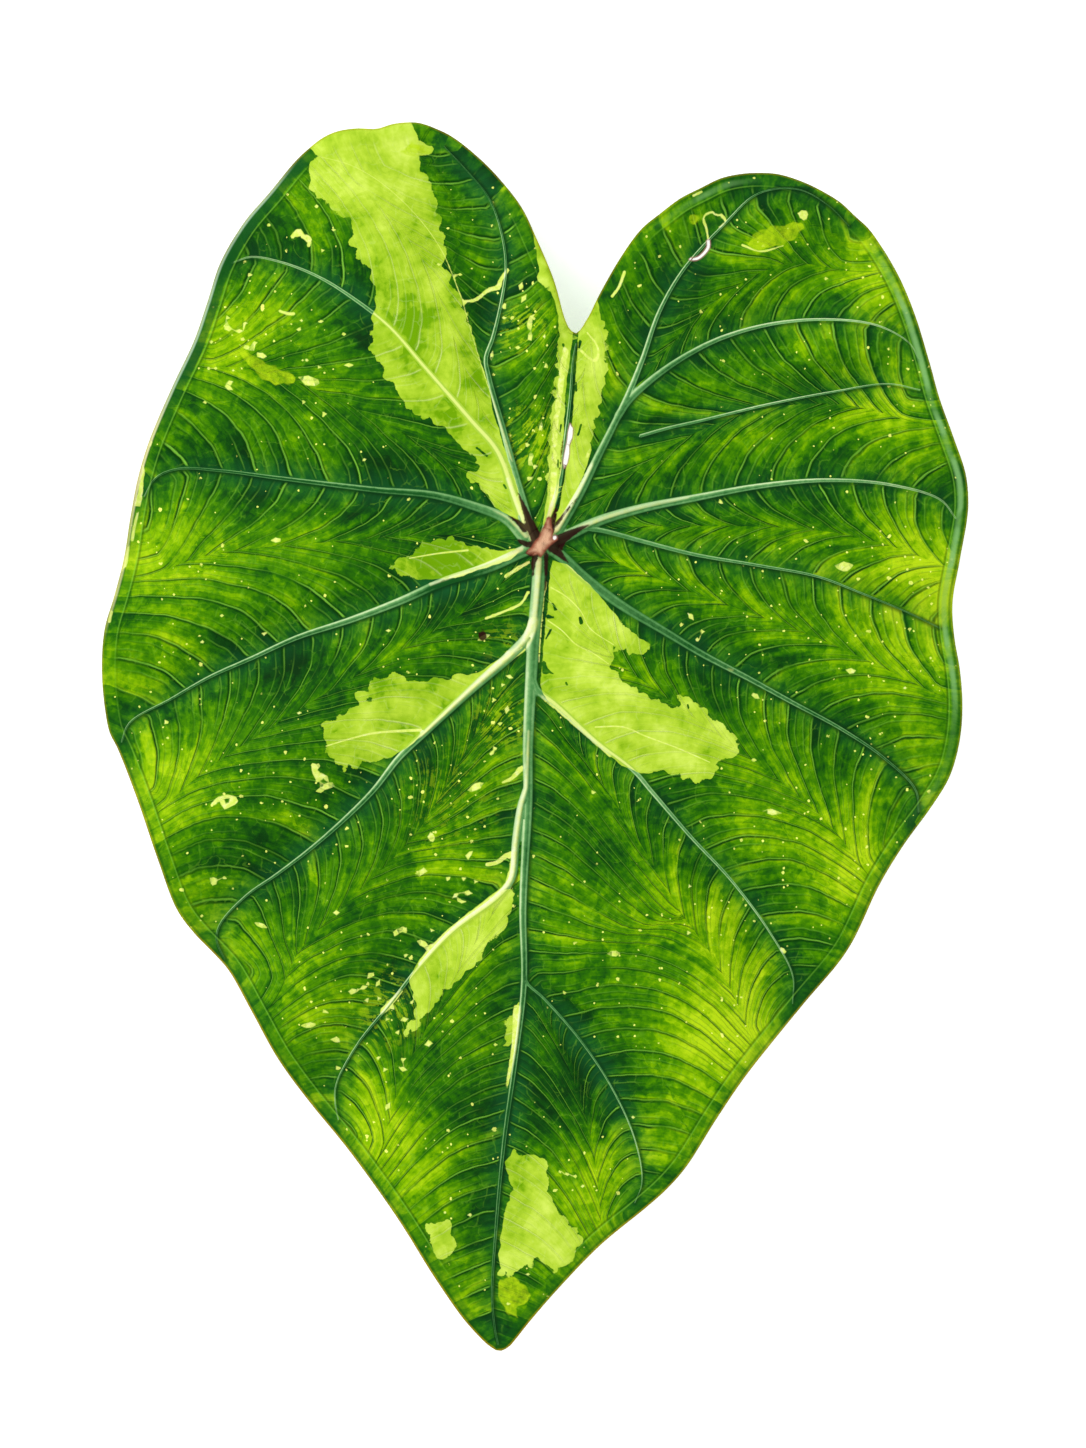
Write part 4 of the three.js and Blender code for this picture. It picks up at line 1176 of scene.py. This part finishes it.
def number_veins(leaf):
    """Where a point lies between its side veins, and noises that are drawn out along them."""
    phase_a, phase_b, side = attribute("veins")
    own = side.ramp(-0.02, 0.02)
    phase = phase_a + (phase_b - phase_a) * own
    phase = phase + (noise(leaf.place, 20, 2) - 0.5) * 0.36 + (noise(leaf.place, 5, 2) - 0.5) * 0.07
    number = Signal.math("ROUND", phase)
    thirds = phase * 3
    fine_number = Signal.math("ROUND", thirds)
    leaf.over_vein, leaf.over_fine = phase - number, thirds - fine_number
    leaf.saw = Signal.math("FRACT", phase)
    leaf.chance = chances(number, own * 3.3)[0]
    leaf.strip = chances(Signal.math("FLOOR", phase), own * 7.7)
    leaf.fine_chance = noise(vector(fine_number * 1.7 + own * 57, leaf.rib * 0.07), 1.0, 1)
    grain = vector(phase * 8, leaf.rib * 0.22 + own * 9)
    leaf.streak = noise(grain, 1.3, 3, 0.6)
    leaf.wide_streak = noise(grain, 3.6, 2)
    bent = Signal.node("VectorMath", {0: grain, 1: vector(leaf.stir * 3, leaf.crumb * 1.5)})
    stirred = vector((leaf.cloud - 0.5) * 14, leaf.stir * 4)
    leaf.warped = Signal.node("VectorMath", {0: leaf.place, 1: stirred})
    leaf.cells = cell_numbers(voronoi(leaf.warped, 3.4))
    leaf.flakes = cell_numbers(voronoi(bent, 2.2))


def green(leaf, greens):
    """The green of the blade, from its tone."""
    near = 1 - leaf.middle * 0.5
    along = (leaf.streak - 0.5) * 0.42 + (leaf.wide_streak - 0.5) * 0.38
    between = (leaf.saw - 0.5) * (leaf.strip[0] - 0.42) + (leaf.strip[1] - 0.5) * 0.22
    tone = 0.35 + leaf.middle * 0.13 + leaf.glow * 0.4 - leaf.shade * 0.25
    tone = tone - leaf.clear.ramp(2.6, 0) * 0.08 + (between + along) * near
    tone = tone + (leaf.cloud - 0.5) * 0.6 + (leaf.cells[0] - 0.5) * 0.13 + (leaf.flakes[0] - 0.5) * 0.12
    tone = tone + (leaf.crumb - 0.5) * 0.28 + (leaf.stir - 0.5) * 0.36
    cool = leaf.clear.ramp(6, 0.2) * (0.05 + leaf.wide_streak * 0.4 + leaf.shade * 0.7)
    return blend(scale_of(tone, greens), SHADED_GREEN, cool * 0.7)


# %% [markdown]
# A side vein shows as a pale line with a groove on its shaded side, whose dark colour is painted shade.
# Where speckles are dense the green is mottled too. The speckles are the middles of scattered cells, a
# few in each hundred.

# %% Vein lines and speckles
NET_GREEN, SPECKLE = colour(112, 172, 40), colour(240, 248, 116)
SMALLEST = 0.15  # mm, the radius of the smallest speckle
SPECKLES = ((5.2, 0.9, 0.05), (3.1, 0.95, 0.06), (2.1, 0.96, 0.07))  # cell in mm, least chance, growth


def draw_veins(leaf, base, shades):
    """Side veins, and a fine net between them in places."""
    dark, pale = shades
    reach = leaf.margin.ramp(2.5, 5) * leaf.clear.ramp(0.0, 0.8)
    shown = reach * (1 - leaf.middle * 0.3) * noise(leaf.place, 12, 2).ramp(0.15, 0.5)
    # The groove is real relief in the bump. Its dark colour is painted shade, strongest on the side away
    # from the light.
    groove = abs(leaf.over_vein - 0.056).ramp(0.08, 0.025)
    groove = groove + abs(leaf.over_vein + 0.046).ramp(0.05, 0.012) * 0.8
    groove = groove + abs(leaf.over_fine - 0.13).ramp(0.15, 0.04) * leaf.fine_chance.ramp(0.3, 0.6) * 0.5
    ridge = abs(leaf.over_vein).ramp(0.042, 0.016) * (0.3 + leaf.chance * 0.7)
    ridge = ridge + abs(leaf.over_fine).ramp(0.11, 0.04) * leaf.fine_chance.ramp(0.42, 0.66) * 0.4
    leaf.groove, leaf.ridge = groove * shown, ridge * shown
    fine_net = voronoi(leaf.warped, 5.0, "DISTANCE_TO_EDGE").ramp(0.05, 0.015)
    leaf.net_line = fine_net * (leaf.wide_streak + leaf.stir).ramp(0.9, 1.2) * reach
    base = blend(base, dark, leaf.groove * 0.8)
    base = blend(base, pale, leaf.ridge * 0.7)
    return blend(base, NET_GREEN, leaf.net_line * 0.24)


def speckle(leaf, base, bright):
    """Mottling, and small cream speckles of three sizes."""
    mottle = ((leaf.lumps + leaf.streak) * 0.5 + leaf.speckled * 0.03).ramp(0.54, 0.6)
    base = blend(base, bright, mottle * leaf.speckled.ramp(0.25, 1.2) * 0.5)
    for cell, least, growth in SPECKLES:
        near_spot = voronoi(leaf.place, cell)
        pick = cell_numbers(near_spot)
        chosen = pick[0] + leaf.speckled * 0.09 + leaf.glow * 0.04 + (leaf.cloud - 0.5) * 0.3 - least
        size = SMALLEST / cell + chosen.ramp(0, 0.16) * growth
        dots = (near_spot + (leaf.crumb - 0.5) * 0.34 - size).ramp(0.02, -0.02) * chosen.ramp(0, 0.01)
        base = blend(base, SPECKLE, dots * (0.65 + pick[1] * 0.5) * leaf.clear.ramp(0, 0.6))
    return base


# %% [markdown]
# In the lime patches the green pigment is missing, so the same veins show there as pale lines. Their
# edges are torn, and the tear comes from noise added to the distance from the polygon.

# %% Lime patches
LIME_SHADE, LIME_VEIN, PATCH_EDGE = colour(146, 188, 48), colour(222, 238, 146), colour(18, 74, 16)


def lay_patches(leaf, base, limes, bright):
    """Lime patches with ragged edges and green islands, and half-tone patches."""
    jag = (voronoi(leaf.place, 2.9) - 0.42) * 2.2 + (leaf.lumps - 0.5) * 1.7 + (leaf.crumb - 0.5) * 0.8
    jag = jag * (0.2 + leaf.clear.ramp(0.5, 3.5) * leaf.margin.ramp(1, 5) * 0.8)
    islands = ((leaf.lumps + leaf.crumb) * 0.5 + leaf.patch * 0.02).ramp(0.67, 0.7)
    in_patch = (leaf.patch + jag * 0.8).ramp(0.1, -0.1) * (1 - islands * leaf.patch.ramp(-4, -0.6) * 0.75)
    leaf.in_patch = in_patch * (leaf.island + (leaf.crumb - 0.5) * 0.3).ramp(-0.1, 0.12)
    tone = 0.52 + (noise(leaf.place, 9, 3, 0.6) - 0.5) * 1.6 + (leaf.streak - 0.5) * 0.3
    tone = tone - leaf.shade * 0.6 + leaf.glow * 0.3
    tone = tone + (leaf.cells[1] - 0.5) * 0.14 + (leaf.crumb - 0.5) * 0.25
    shaded = (leaf.groove - leaf.ridge) * 0.16 + leaf.patch.ramp(-1.2, 0.3) * 0.2
    lime = blend(scale_of(tone, limes), LIME_SHADE, shaded)
    lime = blend(lime, LIME_VEIN, leaf.ridge * 0.42 + leaf.net_line * 0.12)
    base = blend(base, PATCH_EDGE, leaf.patch.ramp(0.9, 0.0) * (1 - leaf.in_patch) * 0.3)
    base = blend(base, lime, leaf.in_patch)
    washed = 0.4 + (leaf.lumps - 0.5) * 1.6 + leaf.cells[0] * 0.35
    return blend(base, bright, (leaf.soft + jag * 0.5).ramp(0.25, -0.25) * washed)


# %% [markdown]
# A rib is a round cord of paler tissue. Its colour is painted lighter on the side towards the window, as
# a highlight, and darker in the gutter on the other side, as shade. Cream streaks run along some ribs,
# partly as painted highlight, and the roots of the ribs are wine red round the brown knot.

# %% Ribs, cream streaks and the knot
LIME_RIB, LIME_RIB_CREST, GUTTER_SHADE = colour(168, 202, 66), colour(216, 230, 124), colour(10, 44, 14)
CREAMS = [(0.2, colour(206, 230, 84)), (0.5, colour(230, 242, 124)), (0.85, colour(238, 244, 200))]
ROOT_CREAM, WINE_RED = colour(206, 184, 118), colour(42, 8, 14)
KNOT_BROWNS = [(0.1, colour(72, 32, 28)), (0.45, colour(146, 84, 62)), (0.9, colour(214, 166, 132))]


def draw_ribs(leaf, base, rib_shades):
    """Ribs with a painted highlight on the lit side and painted shade in the gutter."""
    leaf.across = leaf.lit / leaf.half
    body = (leaf.rib + (leaf.crumb - 0.5) * 0.12) / leaf.half
    leaf.on_rib = body.ramp(1.0, 0.8) * (1 - leaf.run.ramp(0.7, 1.0) * 0.5)
    # sheen is painted light: lighter towards the window, with pale painted highlights along the rib's edges
    sheen = 0.26 + (leaf.cloud - 0.5) * 0.5 + (leaf.crumb - 0.5) * 0.25 + leaf.across.ramp(-0.3, 0.7) * 0.42
    sheen = sheen + abs(body - 0.6).ramp(0.34, 0.05) * (0.14 + leaf.run.ramp(0.1, 0.6) * 0.2)
    sheen = sheen - leaf.run.ramp(0.3, 1.0) * 0.12 - leaf.shade * 0.3
    in_lime = blend(LIME_RIB, LIME_RIB_CREST, body.ramp(0.6, 0.25))
    # painted shade in the gutter on the side away from the window
    gutter_shade = leaf.rib.ramp(leaf.half + 1.2, leaf.half * 0.9) * leaf.across.ramp(0.3, -0.8)
    base = blend(base, GUTTER_SHADE, gutter_shade * (0.75 - leaf.in_patch * 0.6))
    return blend(base, blend(scale_of(sheen, rib_shades), in_lime, leaf.in_patch), leaf.on_rib)


def draw_cream_and_knot(leaf, base):
    """Cream streaks and flecks, wine-red wedges and the brown knot, with some painted light and shade."""
    off_rib = 1 - leaf.on_rib * 0.6
    ragged = ((leaf.crumb - 0.5) * 0.4 + (leaf.stir - 0.5) * 0.3) * off_rib * (1 - leaf.in_patch * 0.7)
    creamy = (leaf.cream + ragged).ramp(0.16 + leaf.on_rib * 0.3, -0.12 - leaf.on_rib * 0.3)
    # On a rib the cream is left out on the side away from the window, as painted shade, and is painted
    # lighter towards it.
    leaf.creamy = creamy * (1 - leaf.on_rib * leaf.across.ramp(0.3, -0.7) * 0.95)
    tone = 0.42 + (leaf.crumb - 0.5) * off_rib + (leaf.across * 0.3 + 0.24) * leaf.on_rib
    cream = blend(scale_of(tone, CREAMS), ROOT_CREAM, leaf.knot.ramp(6, 0.5) * 0.6)
    base = blend(base, cream, leaf.creamy * 0.95)
    uneven = (leaf.crumb - 0.5) * 0.4
    base = blend(base, WINE_RED, (leaf.wine + uneven).ramp(0.2, -0.2) * 0.95)
    # The knot is painted lighter at its middle and on its lit side: a painted highlight that makes it look
    # round.
    knot_tone_and_highlight = 0.3 - leaf.knot * 0.5 + (leaf.crumb - 0.5) * 0.35 + leaf.lit * 0.1
    return blend(base, scale_of(knot_tone_and_highlight, KNOT_BROWNS), (leaf.knot + uneven).ramp(0.25, -0.3))


# %% [markdown]
# Round the margin runs a collecting vein with a darker band beyond it, and the rim is thin and brown.
# At the upper left the margin is folded, and the fold's shade is painted as a dark band. On the right a
# pale band follows it, and on the left its very edge has a painted highlight.

# %% Margin, scars and a painted glint
BAND_GREEN, PALE_BAND, RIM_GREEN = colour(24, 90, 20), colour(134, 188, 112), colour(18, 74, 10)
FOLD_SHADE_GREEN, RIM_HIGHLIGHT_CREAM, RIM_HIGHLIGHT_BLUISH = colour(20, 80, 26), colour(234, 228, 170), colour(165, 198, 165)
RIM_BROWN, SCAR_PINK, SCAR_AND_GLINT_WHITE = colour(158, 138, 24), colour(170, 120, 110), colour(250, 246, 240)


def draw_margin(leaf, base, shades):
    """The margin: a collecting vein, bands beyond it and a rim. Then pale scars and a painted glint."""
    x, y, _ = leaf.place.parts()
    left = x.ramp(-20, -60)
    tinged = (1 - leaf.in_patch * 0.8) * (leaf.pale_edge + leaf.brown_edge).ramp(0.1, 0.6)
    slow = noise(leaf.place, 10, 2)
    uneven, patchy = leaf.margin + (slow - 0.5) * 0.8, slow.ramp(0.35, 0.6)
    base = blend(base, BAND_GREEN, uneven.ramp(3.2, 2.4) * tinged * (0.12 + patchy * 0.22))
    pale_band = abs(uneven - 2.1).ramp(1.1, 0.2) * leaf.pale_edge.ramp(0.25, 0.9) * (1 - left) * tinged
    base = blend(base, PALE_BAND, pale_band * (0.25 + patchy * 0.5))
    collecting = tinged * y.ramp(-140, -122)
    base = blend(base, shades[0], abs(leaf.margin - 3.75).ramp(0.45, 0.1) * collecting * 0.5)
    base = blend(base, shades[1], abs(leaf.margin - 3.35).ramp(0.26, 0.08) * collecting * 0.38)
    rim_line = abs(leaf.margin - 0.8).ramp(0.5, 0.1) * tinged * (0.5 - leaf.creamy * 0.5)
    base = blend(base, RIM_GREEN, rim_line)
    # painted shade of the fold along the upper-left margin
    fold_shade = leaf.fold.ramp(0.2, 0.7) * (1 - leaf.in_patch)
    base = blend(base, FOLD_SHADE_GREEN, uneven.ramp(3.1, 2.7) * fold_shade * (0.95 - patchy * 0.4))
    # a painted highlight along the very edge on the left
    rim_highlight = leaf.margin.ramp(1.0, 0.5) * leaf.pale_edge.ramp(0.3, 0.9) * left * 0.8
    base = blend(base, blend(RIM_HIGHLIGHT_CREAM, RIM_HIGHLIGHT_BLUISH, y.ramp(72, 90)), rim_highlight)
    browned = 0.4 + leaf.brown_edge.ramp(0.2, 0.8) * 0.5
    base = blend(base, RIM_BROWN, leaf.margin.ramp(0.6, 0.2) * browned)
    # leaf.scar also holds the glint on the knot, so this pink and white is partly a painted highlight
    base = blend(base, SCAR_PINK, (leaf.scar - 0.25).ramp(0.18, -0.1) * 0.6)
    return blend(base, SCAR_AND_GLINT_WHITE, leaf.scar.ramp(0.12, -0.12))


# %% [markdown]
# The layers are laid over each other in one material for each face. The lower face is duller and
# paler, with less contrast between the greens and the ribs.

# %% The two faces


def leaf_face(name, greens, limes, rib_shades, vein_shades, matte):
    """The whole skin of one face, from its colours and its roughness."""
    made, shader = new_material(name)
    leaf = leaf_signals()
    number_veins(leaf)
    bright = greens[-1][1]
    base = draw_veins(leaf, green(leaf, greens), vein_shades)
    base = lay_patches(leaf, speckle(leaf, base, bright), limes, bright)
    base = draw_cream_and_knot(leaf, draw_ribs(leaf, base, rib_shades))
    base = draw_margin(leaf, base, vein_shades)
    roughness = matte + leaf.crumb * 0.12 - leaf.on_rib * 0.04
    relief = leaf.ridge * 0.06 - leaf.groove * 0.12 + leaf.crumb * 0.05 + leaf.streak * 0.08
    connect(shader, Base_Color=base, Roughness=roughness, Normal=bump(relief), Specular_IOR_Level=0.02)
    print(name, "has", len(made.node_tree.nodes), "nodes")
    return made


GREENS = [
    (0.00, colour(12, 50, 14)), (0.20, colour(18, 72, 14)), (0.38, colour(40, 104, 4)),
    (0.56, colour(76, 138, 0)), (0.76, colour(128, 178, 0)), (1.00, colour(178, 212, 20))]
LIMES = [(0.0, colour(108, 160, 4)), (0.16, colour(148, 188, 30)), (0.5, colour(178, 210, 54)),
         (0.9, colour(206, 230, 90))]
RIB_SHADES = [(0.1, colour(24, 82, 30)), (0.4, colour(84, 142, 78)), (0.7, colour(146, 190, 124)),
              (0.95, colour(206, 228, 172))]
VEINS = (colour(10, 60, 6), colour(122, 188, 58))
face_above = leaf_face("leaf_upper", GREENS, LIMES, RIB_SHADES, VEINS, 0.46)

UNDER_GREENS = [
    (0.00, colour(58, 104, 66)), (0.35, colour(78, 128, 72)), (0.7, colour(112, 160, 70)),
    (1.00, colour(158, 194, 92))]
UNDER_LIMES = [(0.2, colour(172, 200, 104)), (0.8, colour(200, 222, 132))]
UNDER_RIBS = [(0.2, colour(132, 168, 118)), (0.8, colour(184, 206, 150))]
UNDER_VEINS = (colour(74, 122, 72), colour(150, 184, 126))
face_below = leaf_face("leaf_lower", UNDER_GREENS, UNDER_LIMES, UNDER_RIBS, UNDER_VEINS, 0.55)

mesh.materials.append(face_above)
mesh.materials.append(face_below)
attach(blade, "root")
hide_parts("leaf_blade")

# %% [markdown]
# ## The stalk
# The crown of the stalk is the part of the same sheet that lies inside the hole, so ribs and colours
# run on across it. Its edge is extruded ring by ring: down through the blade, round the turn and
# along the surface to the cut.

# %% Rings of the stalk
NECK, SHOULDER = 4.0, 18.2  # radius in the blade's hole, and height at which the stalk widens
STALK_RADIUS, STALK_TAPER, TURN = 4.8, 0.06, 9.0
TURN_RINGS, LYING_RINGS = 13, 24
LYING = STALK_RADIUS - 0.45  # height of the stalk's middle where it lies
CUT_EDGE = ((0, 0.93), (0.35, 0.7), (0.6, 0.35))  # mm back from the end, and share of the radius


def stalk_rings():
    """Each ring of the stalk below its crown: y, z, radius, tilt and number of its material."""
    neck = ((0.9, NECK - 0.02), (0.3, NECK + 0.25), (-0.5, STALK_RADIUS - 0.1), (-1.4, STALK_RADIUS))
    rings = [(0, SHOULDER + rise, radius, 0, 1) for rise, radius in neck]
    for tilt in np.linspace(0, math.pi / 2, TURN_RINGS):
        y, z = TURN * (math.cos(tilt) - 1), LYING + TURN * (1 - math.sin(tilt))
        rings.append((y, z, STALK_RADIUS, tilt, 1))
    for run in np.arange(1, LYING_RINGS + 1) / LYING_RINGS:
        y = -TURN - run * (STALK_LENGTH - TURN)
        rings.append((y, LYING, STALK_RADIUS * (1 - STALK_TAPER * run), math.pi / 2, 1))
    y, radius = rings[-1][0], rings[-1][2]
    rings += [(y + back, LYING, share * radius, math.pi / 2, 2) for back, share in CUT_EDGE]
    return rings


print(len(stalk_rings()), "rings")

# %% Crown and stalk
CROWN_RISE, KNOT_RISE = 0.3, 1.0
FLUTES, FLUTE_DEPTH = 9, 0.012
bm = flat_sheet(triangles[in_crown])
number = bm.verts.layers.int["sheet"]
knot_body = fade(-sheet_values["knot"][0], -0.5, 1.4)
for vert in bm.verts:
    r = min(1, vert.co.xy.length / MM / CROWN_RADIUS)
    swell = CROWN_RISE * (1 - r * r) ** 1.5 + KNOT_RISE * knot_body[vert[number]] * fade(1 - r, 0, 0.3)
    vert.co.z = (top[vert[number]] + swell) * MM
bearing = bm.verts.layers.float.new("bearing")
ring = [edge for edge in bm.edges if edge.is_boundary]
for vert in {v for edge in ring for v in edge.verts}:
    vert[bearing] = math.atan2(vert.co.y, vert.co.x)
for y, z, radius, tilt, material in stalk_rings():
    made = bmesh.ops.extrude_edge_only(bm, edges=ring)["geom"]
    ring = [g for g in made if isinstance(g, bmesh.types.BMEdge)]
    for vert in (g for g in made if isinstance(g, bmesh.types.BMVert)):
        reach = radius * (1 + FLUTE_DEPTH * math.cos(FLUTES * vert[bearing]))
        across, up = reach * math.cos(vert[bearing]), reach * math.sin(vert[bearing])
        lift = max(0.0, z - up * math.sin(tilt))
        vert.co = Vector((across, y + up * math.cos(tilt), lift)) * MM
        vert[number] = -1
    for face in (g for g in made if isinstance(g, bmesh.types.BMFace)):
        face.material_index = material
closing = bmesh.ops.holes_fill(bm, edges=ring, sides=0)["faces"]
for face in closing:
    face.material_index = 2
bmesh.ops.triangulate(bm, faces=closing)
bmesh.ops.recalc_face_normals(bm, faces=bm.faces)
stalk = new_object("stalk", bm)
settle(stalk.data, read(stalk.data.vertices, "co", float, 3))
of_sheet = read(stalk.data.attributes["sheet"].data, "value", int)
store_fields(stalk.data, np.maximum(of_sheet, 0), of_sheet >= 0)
print("stalk:", len(stalk.data.vertices), "vertices,", in_crown.sum(), "faces in the crown")

# %% [markdown]
# The skin of the stalk is wine brown with fine lengthwise streaks, so its noise is stretched along it.
# The cut shows pale wet flesh with darker pores, which are the middles of small cells.

# %% Skin and cut of the stalk
SKIN_BROWNS = [(0.15, colour(66, 26, 28)), (0.5, colour(112, 58, 46)), (0.85, colour(150, 98, 70))]
FLESH = [(0.12, colour(120, 108, 62)), (0.3, colour(186, 190, 120)), (0.7, colour(208, 212, 150))]


def stalk_skin():
    made, shader = new_material("stalk_skin")
    place = place_in_mm()
    x, y, z = place.parts()
    streak = noise(vector(x, y * 0.12, z), 0.8, 3, 0.6, "3D")
    crumb = noise(place, 0.5, 2, 0.5, "3D")
    tone = 0.5 + (streak - 0.5) * 0.9 + (noise(place, 7, 3, 0.5, "3D") - 0.5) * 0.7 + (crumb - 0.5) * 0.2
    base = scale_of(tone, SKIN_BROWNS)
    connect(shader, Base_Color=base, Roughness=0.42 + crumb * 0.15, Normal=bump(streak * 0.12))
    return made


def stalk_cut():
    made, shader = new_material("stalk_cut")
    place = place_in_mm()
    pores = voronoi(place, 0.8, dimensions="3D")
    cloud = noise(place, 2.5, 3, 0.5, "3D")
    base = scale_of(pores + (cloud - 0.5) * 0.3, FLESH)
    connect(shader, Base_Color=base, Roughness=0.35 + cloud * 0.2, Normal=bump(pores * 0.25))
    return made


for material in (face_above, stalk_skin(), stalk_cut()):
    stalk.data.materials.append(material)
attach(stalk, "root")
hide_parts("petiole")
print("stalk materials:", [material.name for material in stalk.data.materials])

# %% [markdown]
# ## Stage, light and camera
# The leaf lies on a bare white ground, which glows a little so that it stays white in the leaf's
# shadow. A large soft light stands for a window to the upper left, and a weaker one and a bright sky
# fill the shadows. The camera looks straight down on the middle of the photograph.

# %% Ground
FLOOR_HALF = 2.5  # metres
bm = bmesh.new()
bmesh.ops.create_grid(bm, x_segments=2, y_segments=2, size=FLOOR_HALF)
floor = new_object("floor", bm)
material, shader = new_material("ground")
white = scale_of(noise(place_in_mm(), 4, 2), [(0.3, colour(250, 250, 250)), (0.7, colour(254, 254, 254))])
connect(
    shader, Base_Color=white, Roughness=0.9, Specular_IOR_Level=0.1, Emission_Color=(1, 1, 1, 1),
    Emission_Strength=0.5)
floor.data.materials.append(material)
print("ground", 2 * FLOOR_HALF, "m wide")

# %% Lights
SKY_WHITE, SKY_STRENGTH = (0.97, 0.99, 1.0, 1.0), 0.86


def window(name, place, size, power, tint):
    """A square area light that faces the leaf. Place and size are in metres."""
    light = bpy.data.lights.new(name, "AREA")
    light.shape = "SQUARE"
    light.size = size
    light.energy = power
    light.color = tint
    lamp = bpy.data.objects.new(name, light)
    bpy.context.scene.collection.objects.link(lamp)
    lamp.location = place
    lamp.rotation_euler = (-Vector(place)).to_track_quat("-Z", "Y").to_euler()


window("window", (-1.15, 0.85, 1.4), 1.2, 17.0, (1.0, 0.99, 0.97))
window("fill", (1.3, -0.9, 1.5), 1.4, 6.0, (0.97, 0.99, 1.0))
scene = bpy.context.scene
scene.world = bpy.data.worlds.new("sky")
scene.world.use_nodes = True
background = scene.world.node_tree.nodes["Background"]
background.inputs["Color"].default_value = SKY_WHITE
background.inputs["Strength"].default_value = SKY_STRENGTH
scene.view_settings.view_transform = "Standard"
print(len(bpy.data.lights), "lights and a sky")

# %% Camera
PHOTO_SIZE_PX = (1086, 1448)
CAMERA_HEIGHT, LEAF_PLANE = 3.0, 0.008  # metres
SENSOR = 36.0
middle = knot + plan([(PHOTO_SIZE_PX[0] / 2, PHOTO_SIZE_PX[1] / 2)])[0]
camera = bpy.data.objects.new("camera", bpy.data.cameras.new("camera"))
scene.collection.objects.link(camera)
camera.location = (middle[0] * MM, middle[1] * MM, CAMERA_HEIGHT)
camera.data.sensor_width = SENSOR
camera.data.lens = SENSOR * (CAMERA_HEIGHT - LEAF_PLANE) / (PHOTO_SIZE_PX[1] * MM_PER_PX * MM)
camera.data.clip_end = 20.0
scene.camera = camera
print("lens", round(camera.data.lens), "mm")
